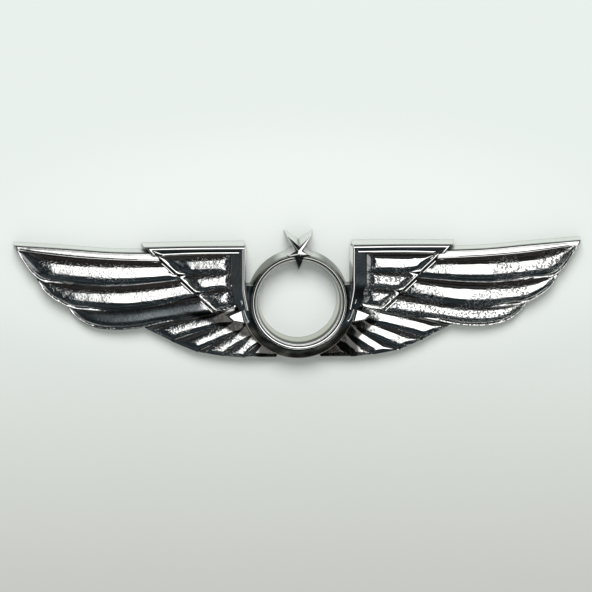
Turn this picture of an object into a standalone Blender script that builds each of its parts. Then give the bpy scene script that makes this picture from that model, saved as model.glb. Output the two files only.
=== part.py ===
"""Pilot wings pin: a plated wing casting with a ring and star, two posts and two squeeze clutches.

The pin stands upright as it is worn: +X along the span, +Z up, the wearer's cloth behind it.
The back of the casting lies in the plane y = 0, its relief faces -Y, and the origin is the
centre of the ring on that plane. Sizes are in millimetres and become metres through MM.
"""

import math

import bmesh
import bpy
from mathutils import Matrix, Vector

MM = 0.001
WELD = 2e-6

# Casting: heights are measured forward from its flat back.
DRAFT = math.radians(7)
BEHIND = 0.6
PLATE_HEIGHT = 1.5
CROWN_POWER = 2.6
CROWN_STEPS = (-1.0, -0.62, 0.0, 0.62, 1.0)

# Ring round the open centre, and the band that backs its lower part.
RING_RADIUS = 5.98
RING_HALF_WIDTH = 0.52
RING_HEIGHT = 3.1
RING_EDGE = 2.5
RING_STEPS = 56
BAND_RADIUS = 7.65
BAND_HEIGHT = 2.45
BAND_TOP = 2.3

# Star above the ring, standing on one point. The levels are those of its corners, from the lower
# point up one side to the notch at the top, and the other side has the same.
STAR_CENTRE = 6.9
STAR_RADIUS = 2.65
STAR_WAIST = 0.8
STAR_LEVELS = (2.4, 3.0, 3.0, 3.4, 3.0, 2.8)
STAR_HEIGHT = 3.5
STAR_SPREAD = 0.7

# Posts: a nail with a soldered head, one behind each wing.
POST_X = 15.0
POST_Z = 1.3
POST_RADIUS = 0.55
POST_HEAD_RADIUS = 2.2
POST_HEAD_THICKNESS = 0.5
POST_GAP = 0.05
POST_TIP = 6.5
POST_GROOVE = 4.9
POST_STEPS = 16

# Squeeze clutch: heights are measured from the face that lies on the cloth.
CLUTCH_FACE = 2.1
SHEET = 0.35
CLUTCH_RADIUS = 5.5
CLUTCH_BORE = 0.8
CLUTCH_RIM = 0.9
BORE_LIP = 0.75
COVER_RADIUS = 3.75
COVER_TOP = 4.95
COVER_SPRING_LINE = 2.5
CLUTCH_STEPS = 32
WINDOW_HALF_WIDTH = 1.75
WINDOW_LOW = 1.0
WINDOW_HIGH = 1.75
WING_LEVEL = 1.35
WING_SHEET = 0.3
WING_HALF_WIDTH = 1.45
JAW = 0.62
JAW_HOOK = 0.35
WING_BODY = 2.8
BEND_START = 4.4
BEND_RADIUS = 1.2
BEND_ANGLE = math.radians(52)
TAB_END = 7.6
TAB_HALF_WIDTH = 2.4
LUG_HEIGHT = 0.75
LUG_HALF_WIDTH = 0.7
SPRING_RADIUS = 2.5
SPRING_WIRE = 0.2
SPRING_LEVEL = 1.8
SPRING_GAP = math.radians(50)
SPRING_POINTS = 25

# Each feather lies between an upper and a lower edge, given as (x, z) points from root to tip,
# with the height of its edges and how far its crown rises above them.
FEATHERS = {
    "leading_edge": (
        ((20.0, 6.75), (25.0, 6.95), (31.0, 7.45), (37.9, 8.0)),
        ((19.6, 5.75), (25.0, 6.0), (31.0, 6.5), (37.75, 7.35)),
        2.0, 0.45,
    ),
    "first_primary": (
        ((17.3, 5.6), (24.0, 5.85), (31.0, 6.4), (37.7, 7.3)),
        (
            (16.6, 3.0), (22.4, 2.6), (28.5, 2.5), (32.9, 2.65),
            (34.5, 3.15), (35.6, 4.05), (36.5, 5.3), (37.3, 6.55),
        ),
        1.7, 0.75,
    ),
    "second_primary": (
        ((15.4, 2.75), (22.4, 2.2), (29.0, 2.15), (34.8, 2.95)),
        ((13.9, 0.75), (19.0, -0.3), (25.0, -0.95), (29.5, -0.85), (31.3, -0.3), (33.0, 0.75), (34.3, 1.95)),
        1.6, 0.75,
    ),
    "third_primary": (
        ((13.0, 0.4), (18.5, -0.5), (25.0, -1.15), (30.9, -0.75)),
        ((11.9, -1.3), (16.4, -2.3), (20.7, -3.4), (23.7, -3.75), (26.5, -3.6), (28.6, -2.9), (30.4, -1.5)),
        1.6, 0.7,
    ),
    "first_covert": (
        ((8.6, 6.5), (13.0, 6.4), (18.9, 6.3)),
        ((8.6, 4.15), (12.5, 4.0), (16.3, 3.85)),
        1.95, 0.7,
    ),
    "second_covert": (
        ((8.6, 4.15), (12.0, 4.0), (16.3, 3.7)),
        ((8.6, 2.1), (11.0, 1.85), (13.9, 1.35)),
        1.9, 0.7,
    ),
    "third_covert": (
        ((8.4, 2.1), (11.0, 1.8), (13.7, 1.1)),
        ((7.9, -0.6), (9.3, -0.95), (11.2, -1.25)),
        1.85, 0.7,
    ),
    "first_fan": (
        ((10.2, -1.35), (15.2, -2.35), (20.2, -3.7)),
        ((9.9, -2.85), (13.8, -4.0), (17.2, -5.2)),
        1.6, 0.75,
    ),
    "second_fan": (
        ((9.2, -2.85), (13.0, -4.2), (16.7, -5.5)),
        ((8.7, -4.1), (11.4, -5.5), (13.8, -6.75)),
        1.6, 0.75,
    ),
    "third_fan": (
        ((7.8, -3.95), (10.6, -5.6), (13.2, -6.85)),
        ((7.2, -4.95), (9.0, -6.3), (10.3, -7.4)),
        1.6, 0.7,
    ),
    "fourth_fan": (
        ((6.4, -4.7), (8.4, -6.3), (9.9, -7.4)),
        ((5.6, -5.5), (6.8, -6.7), (7.4, -7.65)),
        1.6, 0.7,
    ),
    "fifth_fan": (
        ((4.8, -5.7), (6.2, -6.7), (7.2, -7.6)),
        ((2.9, -6.5), (3.1, -7.0), (3.3, -7.6)),
        1.55, 0.6,
    ),
    "tertial": (
        ((6.7, -1.2), (8.1, -1.75), (9.7, -2.3)),
        ((6.5, -3.5), (7.4, -3.2), (8.6, -2.9)),
        1.9, 0.65,
    ),
}
LONG_STATIONS = 11
SHORT_STATIONS = 7

# The shoulder runs along the top of the wing and down its inner edge, with a bevelled rim.
SHOULDER_BAR = (
    ((7.08, 7.75), (14.0, 7.77), (20.9, 7.7)),
    ((7.08, 6.75), (14.0, 6.7), (19.5, 6.45)),
)
SHOULDER_ARM = (
    ((7.2, 7.3), (7.2, 3.5), (7.2, 1.8), (6.7, -1.0)),
    ((8.9, 7.2), (8.9, 3.5), (8.7, 1.2), (7.7, -1.0)),
)
SHOULDER_EDGE = 2.55
SHOULDER_CROWN = 0.25
SHOULDER_POWER = 6

# Floor of the grooves between the feathers.
PLATE_OUTLINE = (
    (0.0, -6.9), (3.6, -7.1), (8.0, -7.0), (12.0, -6.5), (16.0, -4.9), (20.5, -3.1),
    (27.0, -3.1), (29.4, -1.6), (30.1, -0.6), (33.2, 1.5), (33.6, 3.1), (35.9, 5.4),
    (37.0, 7.1), (31.0, 7.0), (20.6, 6.3), (20.2, 7.2), (7.7, 7.2), (7.5, 3.0),
    (6.6, 1.0), (6.6, -1.0), (5.6, -3.6), (3.8, -5.6), (0.0, -6.4),
)


def clear_scene():
    for old in list(bpy.data.objects):
        bpy.data.objects.remove(old)


def make_collection(name):
    collection = bpy.data.collections.new(name)
    bpy.context.scene.collection.children.link(collection)
    return collection


def make_material(name, colour, roughness):
    material = bpy.data.materials.new(name)
    material.use_nodes = True
    surface = material.node_tree.nodes["Principled BSDF"]
    surface.inputs["Base Color"].default_value = (*colour, 1.0)
    surface.inputs["Metallic"].default_value = 1.0
    surface.inputs["Roughness"].default_value = roughness
    return material


def add_object(name, mesh, collection, material=None):
    obj = bpy.data.objects.new(name, mesh)
    collection.objects.link(obj)
    if material:
        mesh.materials.append(material)
    return obj


def mesh_from(name, build):
    """A mesh made by a function that fills a bmesh, with its faces turned outwards."""
    bm = bmesh.new()
    build(bm)
    bmesh.ops.recalc_face_normals(bm, faces=bm.faces)
    mesh = bpy.data.meshes.new(name)
    bm.to_mesh(mesh)
    bm.free()
    return mesh


def as_cutter(obj):
    obj.hide_render = True
    obj.display_type = "WIRE"
    return obj


def smooth_path(points, count):
    """Evenly spaced stations on a smooth curve through (x, z) points."""
    knots = [Vector(p) for p in points]
    last = len(knots) - 1
    lengths = [0.0]
    for a, b in zip(knots, knots[1:]):
        lengths.append(lengths[-1] + (b - a).length)
    slopes = []
    for i in range(last + 1):
        low = max(i - 1, 0)
        high = min(i + 1, last)
        slopes.append((knots[high] - knots[low]) / (lengths[high] - lengths[low]))
    path = []
    for station in range(count):
        distance = lengths[-1] * station / (count - 1)
        i = min(sum(length <= distance for length in lengths[1:]), last - 1)
        span = lengths[i + 1] - lengths[i]
        t = (distance - lengths[i]) / span
        path.append(
            knots[i] * (1 + 2 * t) * (1 - t) ** 2
            + slopes[i] * span * t * (1 - t) ** 2
            + knots[i + 1] * t * t * (3 - 2 * t)
            + slopes[i + 1] * span * t * t * (t - 1)
        )
    return path


def loft(bm, sections):
    """Skin between closed sections of the same number of points, with flat ends."""
    rings = [[bm.verts.new(point) for point in section] for section in sections]
    count = len(rings[0])
    for near, far in zip(rings, rings[1:]):
        for i in range(count):
            j = (i + 1) % count
            bm.faces.new((near[i], near[j], far[j], far[i]))
    bm.faces.new(rings[0])
    bm.faces.new(reversed(rings[-1]))


def turn_along(upper, lower):
    """1 where a ridge runs to the left of the way from its upper to its lower edge, else -1."""
    across = Vector(lower[0]) - Vector(upper[0])
    along = Vector(upper[-1]) - Vector(upper[0])
    return 1 if across.cross(along) > 0 else -1


def ridge_mesh(name, upper, lower, edge, crown, stations, power=CROWN_POWER):
    """A crowned ridge between two edge curves, its sides drafted down through the casting's back."""
    flare = (edge + BEHIND) * math.tan(DRAFT)
    pairs = list(zip(smooth_path(upper, stations), smooth_path(lower, stations)))
    widest = max((low - up).length for up, low in pairs)
    sections = []
    for station, (up, low) in enumerate(pairs):
        across = (low - up).normalized()
        along = Vector((-across.y, across.x)) * turn_along(upper, lower)
        end = flare * ((station == stations - 1) - (station == 0))
        rise = crown * math.sqrt((low - up).length / widest)
        section = [(up - across * flare + along * end, BEHIND)]
        for t in CROWN_STEPS:
            point = up.lerp(low, (t + 1) / 2)
            section.append((point, -edge - rise * (1 - abs(t) ** power)))
        section.append((low + across * flare + along * end, BEHIND))
        sections.append([Vector((p.x, depth, p.y)) * MM for p, depth in section])
    return mesh_from(name, lambda bm: loft(bm, sections))


def turned_mesh(name, profile, steps, collection):
    """A closed (radius, height) profile turned about the Y axis, as a mesh."""
    bm = bmesh.new()
    verts = [bm.verts.new((radius * MM, 0, height * MM)) for radius, height in profile]
    on_axis = profile[0][0] == 0 and profile[-1][0] == 0
    for a, b in zip(verts, verts[1:]):
        bm.edges.new((a, b))
    if not on_axis:
        bm.edges.new((verts[-1], verts[0]))
    mesh = bpy.data.meshes.new(name + "_profile")
    bm.to_mesh(mesh)
    bm.free()
    profile_object = add_object(name + "_profile", mesh, collection)
    screw = profile_object.modifiers.new("turn", "SCREW")
    screw.steps = screw.render_steps = steps
    screw.use_merge_vertices = True
    screw.merge_threshold = 1e-6
    turned = evaluated_mesh(profile_object)
    turned.name = name
    bpy.data.objects.remove(profile_object)
    turned.transform(Matrix.Rotation(math.radians(-90), 4, "X"))
    return turned


def shade_round(obj):
    obj.data.shade_smooth()
    obj.data.set_sharp_from_angle(angle=math.radians(35))


def plate_mesh():
    def build(bm):
        front = [bm.verts.new(Vector((x, -PLATE_HEIGHT, z)) * MM) for x, z in PLATE_OUTLINE]
        face = bm.faces.new(front)
        grown = bmesh.ops.extrude_face_region(bm, geom=[face])
        back = [v for v in grown["geom"] if isinstance(v, bmesh.types.BMVert)]
        bmesh.ops.translate(bm, verts=back, vec=Vector((0, PLATE_HEIGHT + BEHIND, 0)) * MM)

    return mesh_from("plate", build)


def ring_mesh(collection):
    """The rounded ring, its walls drafted to the back."""
    flare = (RING_EDGE + BEHIND) * math.tan(DRAFT)
    outer = RING_RADIUS + RING_HALF_WIDTH
    inner = RING_RADIUS - RING_HALF_WIDTH
    shoulder = RING_HALF_WIDTH * 0.6
    profile = (
        (inner - flare, BEHIND), (outer + flare, BEHIND), (outer, -RING_EDGE),
        (RING_RADIUS + shoulder, -RING_EDGE - 0.45), (RING_RADIUS, -RING_HEIGHT),
        (RING_RADIUS - shoulder, -RING_EDGE - 0.45), (inner, -RING_EDGE),
    )
    return turned_mesh("ring", profile, RING_STEPS, collection)


def band_mesh(collection):
    """The broad band under the ring, sloping away from it, before its top is cut off."""
    flare = (BAND_HEIGHT + BEHIND) * math.tan(DRAFT)
    profile = (
        (RING_RADIUS, BEHIND), (BAND_RADIUS + flare * 0.6, BEHIND), (BAND_RADIUS, -BAND_HEIGHT + 0.35),
        (BAND_RADIUS - 0.15, -BAND_HEIGHT), (RING_RADIUS, -RING_EDGE - 0.2),
    )
    return turned_mesh("band", profile, RING_STEPS, collection)


def star_mesh():
    """A five-pointed star of ten sloping facets that meet in ridges, standing on its point."""
    corners = []
    for i in range(10):
        radius = STAR_WAIST if i % 2 else STAR_RADIUS
        angle = math.radians(-90 + 36 * i)
        corners.append((radius, math.cos(angle), math.sin(angle), STAR_LEVELS[min(i, 10 - i)]))

    def build(bm):
        back, front = [], []
        for r, c, s, level in corners:
            reach = r + STAR_SPREAD
            back.append(bm.verts.new(Vector((c * reach, BEHIND, STAR_CENTRE + s * reach)) * MM))
            front.append(bm.verts.new(Vector((c * r, -level, STAR_CENTRE + s * r)) * MM))
        peak = bm.verts.new(Vector((0, -STAR_HEIGHT, STAR_CENTRE)) * MM)
        bm.faces.new(back)
        for i in range(10):
            j = (i + 1) % 10
            bm.faces.new((back[i], back[j], front[j], front[i]))
            bm.faces.new((front[i], front[j], peak))

    return mesh_from("star", build)


def box_mesh(name, low, high):
    def build(bm):
        bmesh.ops.create_cube(bm, size=1)
        bmesh.ops.scale(bm, verts=bm.verts, vec=Vector([b - a for a, b in zip(low, high)]) * MM)
        bmesh.ops.translate(bm, verts=bm.verts, vec=Vector([(a + b) / 2 for a, b in zip(low, high)]) * MM)

    return mesh_from(name, build)


def add_boolean(obj, operation, operand):
    modifier = obj.modifiers.new(operation.lower(), "BOOLEAN")
    modifier.operation = operation
    modifier.solver = "EXACT"
    if isinstance(operand, bpy.types.Collection):
        modifier.operand_type = "COLLECTION"
        modifier.collection = operand
    else:
        modifier.object = operand
    return modifier


def evaluated_mesh(obj):
    bpy.context.view_layer.update()
    return bpy.data.meshes.new_from_object(obj.evaluated_get(bpy.context.evaluated_depsgraph_get()))


def cut_half(mesh):
    """Keep the +X half in front of the back plane, closed behind and open at the mirror plane."""
    bm = bmesh.new()
    bm.from_mesh(mesh)
    bmesh.ops.remove_doubles(bm, verts=bm.verts, dist=WELD)
    for normal in ((-1, 0, 0), (0, 1, 0)):
        geometry = bm.verts[:] + bm.edges[:] + bm.faces[:]
        bmesh.ops.bisect_plane(
            bm, geom=geometry, plane_co=(0, 0, 0), plane_no=normal, dist=WELD, clear_outer=True
        )
    rim = [e for e in bm.edges if e.is_boundary and all(abs(v.co.y) < WELD for v in e.verts)]
    corners = sorted({v for e in rim for v in e.verts if abs(v.co.x) < WELD}, key=lambda v: v.co.z)
    for low, high in zip(corners[::2], corners[1::2]):
        rim.append(bm.edges.get((low, high)) or bm.edges.new((low, high)))
    bmesh.ops.triangle_fill(bm, edges=rim, use_beauty=True, normal=(0, 1, 0))
    bmesh.ops.recalc_face_normals(bm, faces=bm.faces)
    bm.to_mesh(mesh)
    bm.free()
    return mesh


def make_casting(parts, cutters, material):
    """One wing, the ring and the star joined, cut flat behind and mirrored to the other side."""
    relief = make_collection("relief")
    casting = add_object("wings_casting", plate_mesh(), parts, material)
    for name, (upper, lower, edge, crown) in FEATHERS.items():
        stations = LONG_STATIONS if len(lower) > 3 else SHORT_STATIONS
        as_cutter(add_object(name, ridge_mesh(name, upper, lower, edge, crown, stations), relief))
    for name, edges in (("shoulder_bar", SHOULDER_BAR), ("shoulder_arm", SHOULDER_ARM)):
        mesh = ridge_mesh(name, *edges, SHOULDER_EDGE, SHOULDER_CROWN, SHORT_STATIONS, SHOULDER_POWER)
        as_cutter(add_object(name, mesh, relief))
    as_cutter(add_object("ring", ring_mesh(cutters), relief))
    as_cutter(add_object("star", star_mesh(), relief))
    band = as_cutter(add_object("band", band_mesh(cutters), relief))
    band_top = box_mesh("band_top", (-10, -9, BAND_TOP), (10, 9, 20))
    add_boolean(band, "DIFFERENCE", as_cutter(add_object("band_top", band_top, cutters)))
    add_boolean(casting, "UNION", relief)
    half = cut_half(evaluated_mesh(casting))
    casting.modifiers.clear()
    casting.data = half
    mirror = casting.modifiers.new("other_wing", "MIRROR")
    mirror.use_axis = (True, False, False)
    mirror.use_mirror_merge = True
    mirror.merge_threshold = WELD
    return casting


def make_post(side, x, parts, cutters, material):
    """A nail: soldered head on the casting, shank with a snap groove, and a sharp point."""
    head = POST_GAP + POST_HEAD_THICKNESS
    groove = POST_RADIUS - 0.13
    profile = (
        (0, POST_TIP), (0.12, POST_TIP - 0.15), (POST_RADIUS, POST_TIP - 0.9),
        (POST_RADIUS, POST_GROOVE + 0.3), (groove, POST_GROOVE + 0.2), (groove, POST_GROOVE),
        (POST_RADIUS, POST_GROOVE - 0.1), (POST_RADIUS, head + 0.4), (POST_RADIUS + 0.4, head),
        (POST_HEAD_RADIUS - 0.15, head), (POST_HEAD_RADIUS, head - 0.15), (POST_HEAD_RADIUS, POST_GAP),
        (0, POST_GAP),
    )
    nail = turned_mesh(f"{side}_post", profile, POST_STEPS, cutters)
    post = add_object(f"{side}_post", nail, parts, material)
    post.location = Vector((x, 0, POST_Z)) * MM
    shade_round(post)
    return post


def clutch_base_mesh(cutters):
    """A pressed disc with a bore lip in the middle and its rim turned up and in over the cover."""
    outer = CLUTCH_RADIUS
    profile = (
        (CLUTCH_BORE, BORE_LIP), (CLUTCH_BORE + 0.25, BORE_LIP), (CLUTCH_BORE + 0.3, SHEET),
        (outer - SHEET - 0.1, SHEET), (outer - SHEET, SHEET + 0.1), (outer - SHEET, CLUTCH_RIM - 0.05),
        (outer - 0.6, CLUTCH_RIM - 0.1), (outer - 0.55, CLUTCH_RIM), (outer - 0.2, CLUTCH_RIM),
        (outer, CLUTCH_RIM - 0.2), (outer, 0.2), (outer - 0.2, 0), (CLUTCH_BORE + 0.1, 0), (CLUTCH_BORE, 0.1),
    )
    return turned_mesh("clutch_base", profile, CLUTCH_STEPS, cutters)


def clutch_cover_mesh(cutters):
    """A domed cap with a flange that sits inside the rim of the base."""
    inner = COVER_RADIUS - SHEET
    low = SHEET + 0.05
    dome = COVER_TOP - COVER_SPRING_LINE
    arc = [math.radians(a) for a in (0, 22, 45, 68)]
    outside = [(COVER_RADIUS * math.cos(a), COVER_SPRING_LINE + dome * math.sin(a)) for a in reversed(arc)]
    inside = [(inner * math.cos(a), COVER_SPRING_LINE + (dome - SHEET) * math.sin(a)) for a in arc]
    flange = CLUTCH_RADIUS - SHEET - 0.1
    profile = [(0, COVER_TOP)] + outside
    profile += [(COVER_RADIUS, low + SHEET + 0.2), (COVER_RADIUS + 0.2, low + SHEET), (flange, low + SHEET)]
    profile += [(flange, low), (inner, low)] + inside + [(0, COVER_TOP - SHEET)]
    return turned_mesh("clutch_cover", profile, CLUTCH_STEPS, cutters)


def wing_outline():
    """Flat blank of one squeeze wing: a jaw hooked round the post, an arm, a body and a finger tab."""
    tab = [(BEND_START, WING_HALF_WIDTH)]
    straight = TAB_END - TAB_HALF_WIDTH * 0.55
    tab.append((straight - 0.4, TAB_HALF_WIDTH))
    for degrees in (20, 42, 64, 90):
        angle = math.radians(degrees)
        tab.append((straight + 0.55 * TAB_HALF_WIDTH * math.sin(angle), TAB_HALF_WIDTH * math.cos(angle)))
    other_side = [(a, -b) for a, b in reversed(tab[:-1])]
    arm = JAW + 0.02
    body = [(WING_BODY, -WING_HALF_WIDTH), (WING_BODY, arm)]
    jaw = [(-JAW, arm), (-JAW, -JAW_HOOK), (-WING_HALF_WIDTH, -JAW_HOOK), (-WING_HALF_WIDTH, WING_HALF_WIDTH)]
    return tab + other_side + body + jaw


def bent(a, b):
    """Where a point of the flat blank lies once the finger tab is bent up."""
    over = a - BEND_START
    if over <= 0:
        return Vector((a, WING_LEVEL, b))
    turn = min(over / BEND_RADIUS, BEND_ANGLE)
    straight = max(over - BEND_RADIUS * BEND_ANGLE, 0)
    out = BEND_START + BEND_RADIUS * math.sin(turn) + straight * math.cos(BEND_ANGLE)
    up = WING_LEVEL + BEND_RADIUS * (1 - math.cos(turn)) + straight * math.sin(BEND_ANGLE)
    return Vector((out, up, b))


def clutch_wing_mesh():
    """The blank cut across at its bend lines, then bent."""

    def build(bm):
        face = bm.faces.new([bm.verts.new((a, b, 0)) for a, b in wing_outline()])
        face.normal_update()
        for step in range(5):
            line = BEND_START + BEND_RADIUS * BEND_ANGLE * step / 4
            geometry = bm.verts[:] + bm.edges[:] + bm.faces[:]
            bmesh.ops.bisect_plane(bm, geom=geometry, plane_co=(line, 0, 0), plane_no=(1, 0, 0), dist=1e-5)
        for vert in bm.verts:
            vert.co = bent(vert.co.x, vert.co.y) * MM

    return mesh_from("clutch_wing", build)


def clutch_spring_mesh(collection):
    """A split ring of wire that holds the two wings apart."""
    curve = bpy.data.curves.new("clutch_spring_path", "CURVE")
    curve.dimensions = "3D"
    curve.bevel_depth = SPRING_WIRE * MM
    curve.bevel_resolution = 1
    curve.use_fill_caps = True
    spline = curve.splines.new("POLY")
    count = SPRING_POINTS
    spline.points.add(count - 1)
    for i, point in enumerate(spline.points):
        angle = math.radians(90) + SPRING_GAP / 2 + (math.tau - SPRING_GAP) * i / (count - 1)
        x, z = SPRING_RADIUS * math.cos(angle), SPRING_RADIUS * math.sin(angle)
        point.co = (*Vector((x, SPRING_LEVEL, z)) * MM, 1)
    path = add_object("clutch_spring_path", curve, collection)
    mesh = evaluated_mesh(path)
    bpy.data.objects.remove(path)
    bm = bmesh.new()
    bm.from_mesh(mesh)
    bmesh.ops.remove_doubles(bm, verts=bm.verts, dist=1e-6)
    bmesh.ops.recalc_face_normals(bm, faces=bm.faces)
    bm.to_mesh(mesh)
    bm.free()
    return mesh


def make_clutch(side, x, parts, cutters, materials):
    """Base, windowed cover, two squeeze wings and their spring, on an empty at the post's axis."""
    axis = bpy.data.objects.new(f"{side}_clutch_axis", None)
    axis.empty_display_size = CLUTCH_RADIUS * MM
    axis.location = Vector((x, CLUTCH_FACE, POST_Z)) * MM
    parts.objects.link(axis)

    base = add_object(f"{side}_clutch_base", clutch_base_mesh(cutters), parts, materials["brass"])
    cover = add_object(f"{side}_clutch_cover", clutch_cover_mesh(cutters), parts, materials["brass"])
    reach = COVER_RADIUS + 1
    window = box_mesh(
        f"{side}_window", (-reach, WINDOW_LOW, -WINDOW_HALF_WIDTH), (reach, WINDOW_HIGH, WINDOW_HALF_WIDTH)
    )
    window = as_cutter(add_object(f"{side}_window", window, cutters))
    add_boolean(cover, "DIFFERENCE", window)
    spring = add_object(f"{side}_clutch_spring", clutch_spring_mesh(cutters), parts, materials["spring"])
    pieces = [base, cover, spring, window]
    for name, turn in (("outer", 0 if x > 0 else 180), ("inner", 180 if x > 0 else 0)):
        wing = add_object(f"{side}_clutch_{name}_wing", clutch_wing_mesh(), parts, materials["wing"])
        wing.rotation_euler.y = math.radians(turn)
        sheet = wing.modifiers.new("sheet", "SOLIDIFY")
        sheet.thickness = WING_SHEET * MM
        sheet.offset = 0
        sheet.use_even_offset = True
        lug_low = (WING_BODY + 0.05, WING_LEVEL, -LUG_HALF_WIDTH)
        lug_high = (WING_BODY + 0.05 + WING_SHEET, WING_LEVEL + LUG_HEIGHT, LUG_HALF_WIDTH)
        lug = box_mesh(wing.name + "_lug", lug_low, lug_high)
        lug = as_cutter(add_object(wing.name + "_lug", lug, cutters))
        lug.rotation_euler.y = wing.rotation_euler.y
        add_boolean(wing, "UNION", lug)
        pieces += [wing, lug]
    for piece in pieces:
        piece.parent = axis
    for piece in (base, cover, spring):
        shade_round(piece)


def main():
    clear_scene()
    parts = make_collection("pilot_wings_pin")
    cutters = make_collection("cutters")
    materials = {
        "chrome": make_material("chrome", (0.82, 0.82, 0.82), 0.08),
        "post": make_material("post_steel", (0.68, 0.67, 0.65), 0.22),
        "brass": make_material("clutch_brass", (0.83, 0.62, 0.28), 0.25),
        "wing": make_material("wing_brass", (0.86, 0.66, 0.32), 0.22),
        "spring": make_material("spring_bronze", (0.72, 0.48, 0.27), 0.3),
    }
    make_casting(parts, cutters, materials["chrome"])
    for side, x in (("left", -POST_X), ("right", POST_X)):
        make_post(side, x, parts, cutters, materials["post"])
        make_clutch(side, x, parts, cutters, materials)


main()
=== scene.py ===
# %% [markdown]
# # A wings badge, dressed for its picture
#
# The badge is a bright-plated casting: two wings of raised feathers, a ring between them and a
# small star on the ring. Behind it are two nail posts with squeeze clutches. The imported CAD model
# is the frame: it says where every piece is and how it moves. This lesson builds a finer mesh for
# each piece in the same place, gives each its metal, and lights it like a pin on a pale sheet.

# %% Load the frame
import math
from functools import partialmethod
from types import SimpleNamespace

import bmesh
import bpy
import numpy as np
from mathutils import Matrix, Vector, noise


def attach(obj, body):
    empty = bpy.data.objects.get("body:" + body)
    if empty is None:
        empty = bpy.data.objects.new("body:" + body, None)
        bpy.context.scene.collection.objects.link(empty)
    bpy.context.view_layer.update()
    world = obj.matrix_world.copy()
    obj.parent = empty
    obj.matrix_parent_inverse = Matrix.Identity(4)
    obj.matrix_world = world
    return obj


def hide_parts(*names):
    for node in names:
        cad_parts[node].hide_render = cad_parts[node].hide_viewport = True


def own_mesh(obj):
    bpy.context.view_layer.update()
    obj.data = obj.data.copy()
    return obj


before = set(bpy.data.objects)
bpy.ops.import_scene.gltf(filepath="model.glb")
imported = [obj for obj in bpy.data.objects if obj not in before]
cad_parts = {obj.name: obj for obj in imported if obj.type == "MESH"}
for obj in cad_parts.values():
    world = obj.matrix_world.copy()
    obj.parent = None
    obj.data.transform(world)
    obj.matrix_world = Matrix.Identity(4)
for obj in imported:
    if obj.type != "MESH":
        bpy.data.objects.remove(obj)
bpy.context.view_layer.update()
MM = 0.001

# %% [markdown]
# ## The camera
#
# The picture was taken from in front, a little from the left and from above, with the badge almost
# as wide as the picture. A long lens at 600 mm gives that mild perspective. The camera is placed
# from those angles, so it stays easy to adjust.

# %% Camera
VIEW_AZIMUTH = math.radians(-3.5)
VIEW_ELEVATION = math.radians(10.0)
VIEW_DISTANCE = 600 * MM
PICTURE_WIDTH = 79.1 * MM
LOOK_AT = Vector((-0.4, -2.5, 0.86)) * MM

towards_camera = Vector((
    math.sin(VIEW_AZIMUTH) * math.cos(VIEW_ELEVATION),
    -math.cos(VIEW_AZIMUTH) * math.cos(VIEW_ELEVATION),
    math.sin(VIEW_ELEVATION),
))
lens = bpy.data.cameras.new("camera")
lens.sensor_width = 36.0
lens.lens = lens.sensor_width * VIEW_DISTANCE / PICTURE_WIDTH
lens.clip_start = 10 * MM
lens.clip_end = 10.0
camera = bpy.data.objects.new("camera", lens)
camera.location = LOOK_AT + towards_camera * VIEW_DISTANCE
camera.rotation_euler = (-towards_camera).to_track_quat("-Z", "Y").to_euler()
bpy.context.scene.collection.objects.link(camera)
bpy.context.scene.camera = camera
print("camera lens mm:", round(lens.lens, 1))

# %% [markdown]
# ## Writing shader maths as plain expressions
#
# A finish is a small network of nodes. Linking them by hand hides the idea, so one class wraps a
# socket and turns +, -, *, / and ** into Math nodes. Every other node comes from one function that
# sets a node's own settings first, then its inputs. A few short functions give the steps that
# come up again and again: an eased edge, a speckle, and colours laid over each other.


# %% Shader values
class Value:
    """One output socket of a node tree, with arithmetic."""

    def __init__(self, tree, socket):
        self.tree = tree
        self.socket = socket

    def maths(self, operation, reflected, other):
        """A Math node with this value first, or second when the operator is reflected."""
        first, second = (other, self) if reflected else (self, other)
        return node(self.tree, "ShaderNodeMath", {"operation": operation}, {0: first, 1: second})

    __add__ = partialmethod(maths, "ADD", False)
    __radd__ = partialmethod(maths, "ADD", True)
    __sub__ = partialmethod(maths, "SUBTRACT", False)
    __rsub__ = partialmethod(maths, "SUBTRACT", True)
    __mul__ = partialmethod(maths, "MULTIPLY", False)
    __rmul__ = partialmethod(maths, "MULTIPLY", True)
    __truediv__ = partialmethod(maths, "DIVIDE", False)
    __rtruediv__ = partialmethod(maths, "DIVIDE", True)
    __pow__ = partialmethod(maths, "POWER", False)
    __rpow__ = partialmethod(maths, "POWER", True)


def feed(socket, given):
    """Links a value into a socket, or sets a plain number, colour or vector on it."""
    if isinstance(given, Value):
        given.tree.links.new(given.socket, socket)
    else:
        socket.default_value = given


def node(tree, kind, settings=None, inputs=None, out=0):
    """Adds a node, applies its settings and its inputs, and returns one of its outputs."""
    made = tree.nodes.new(kind)
    for name, setting in (settings or {}).items():
        setattr(made, name, setting)
    for name, given in (inputs or {}).items():
        feed(made.inputs[name], given)
    return Value(tree, made.outputs[out]) if made.outputs else None


print("operators on a value: + - * / **")


# %% Shader steps
def axes(vector):
    """The three parts of a vector."""
    made = node(vector.tree, "ShaderNodeSeparateXYZ", None, {"Vector": vector}).socket.node
    return [Value(vector.tree, made.outputs[letter]) for letter in "XYZ"]


def smooth_step(value, low, high):
    """0 below low, 1 above high, with an eased rise between them."""
    return node(
        value.tree, "ShaderNodeMapRange", {"interpolation_type": "SMOOTHSTEP"},
        {"Value": value, "From Min": low, "From Max": high},
    )


def fade(value, low, high):
    """1 below low, 0 above high."""
    return 1.0 - smooth_step(value, low, high)


def within(squared, near, far):
    """1 nearer than the first distance and 0 past the second, from a distance's square."""
    return fade(squared, near ** 2, far ** 2)


def beyond(squared, near, far):
    """The opposite of within."""
    return smooth_step(squared, near ** 2, far ** 2)


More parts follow.
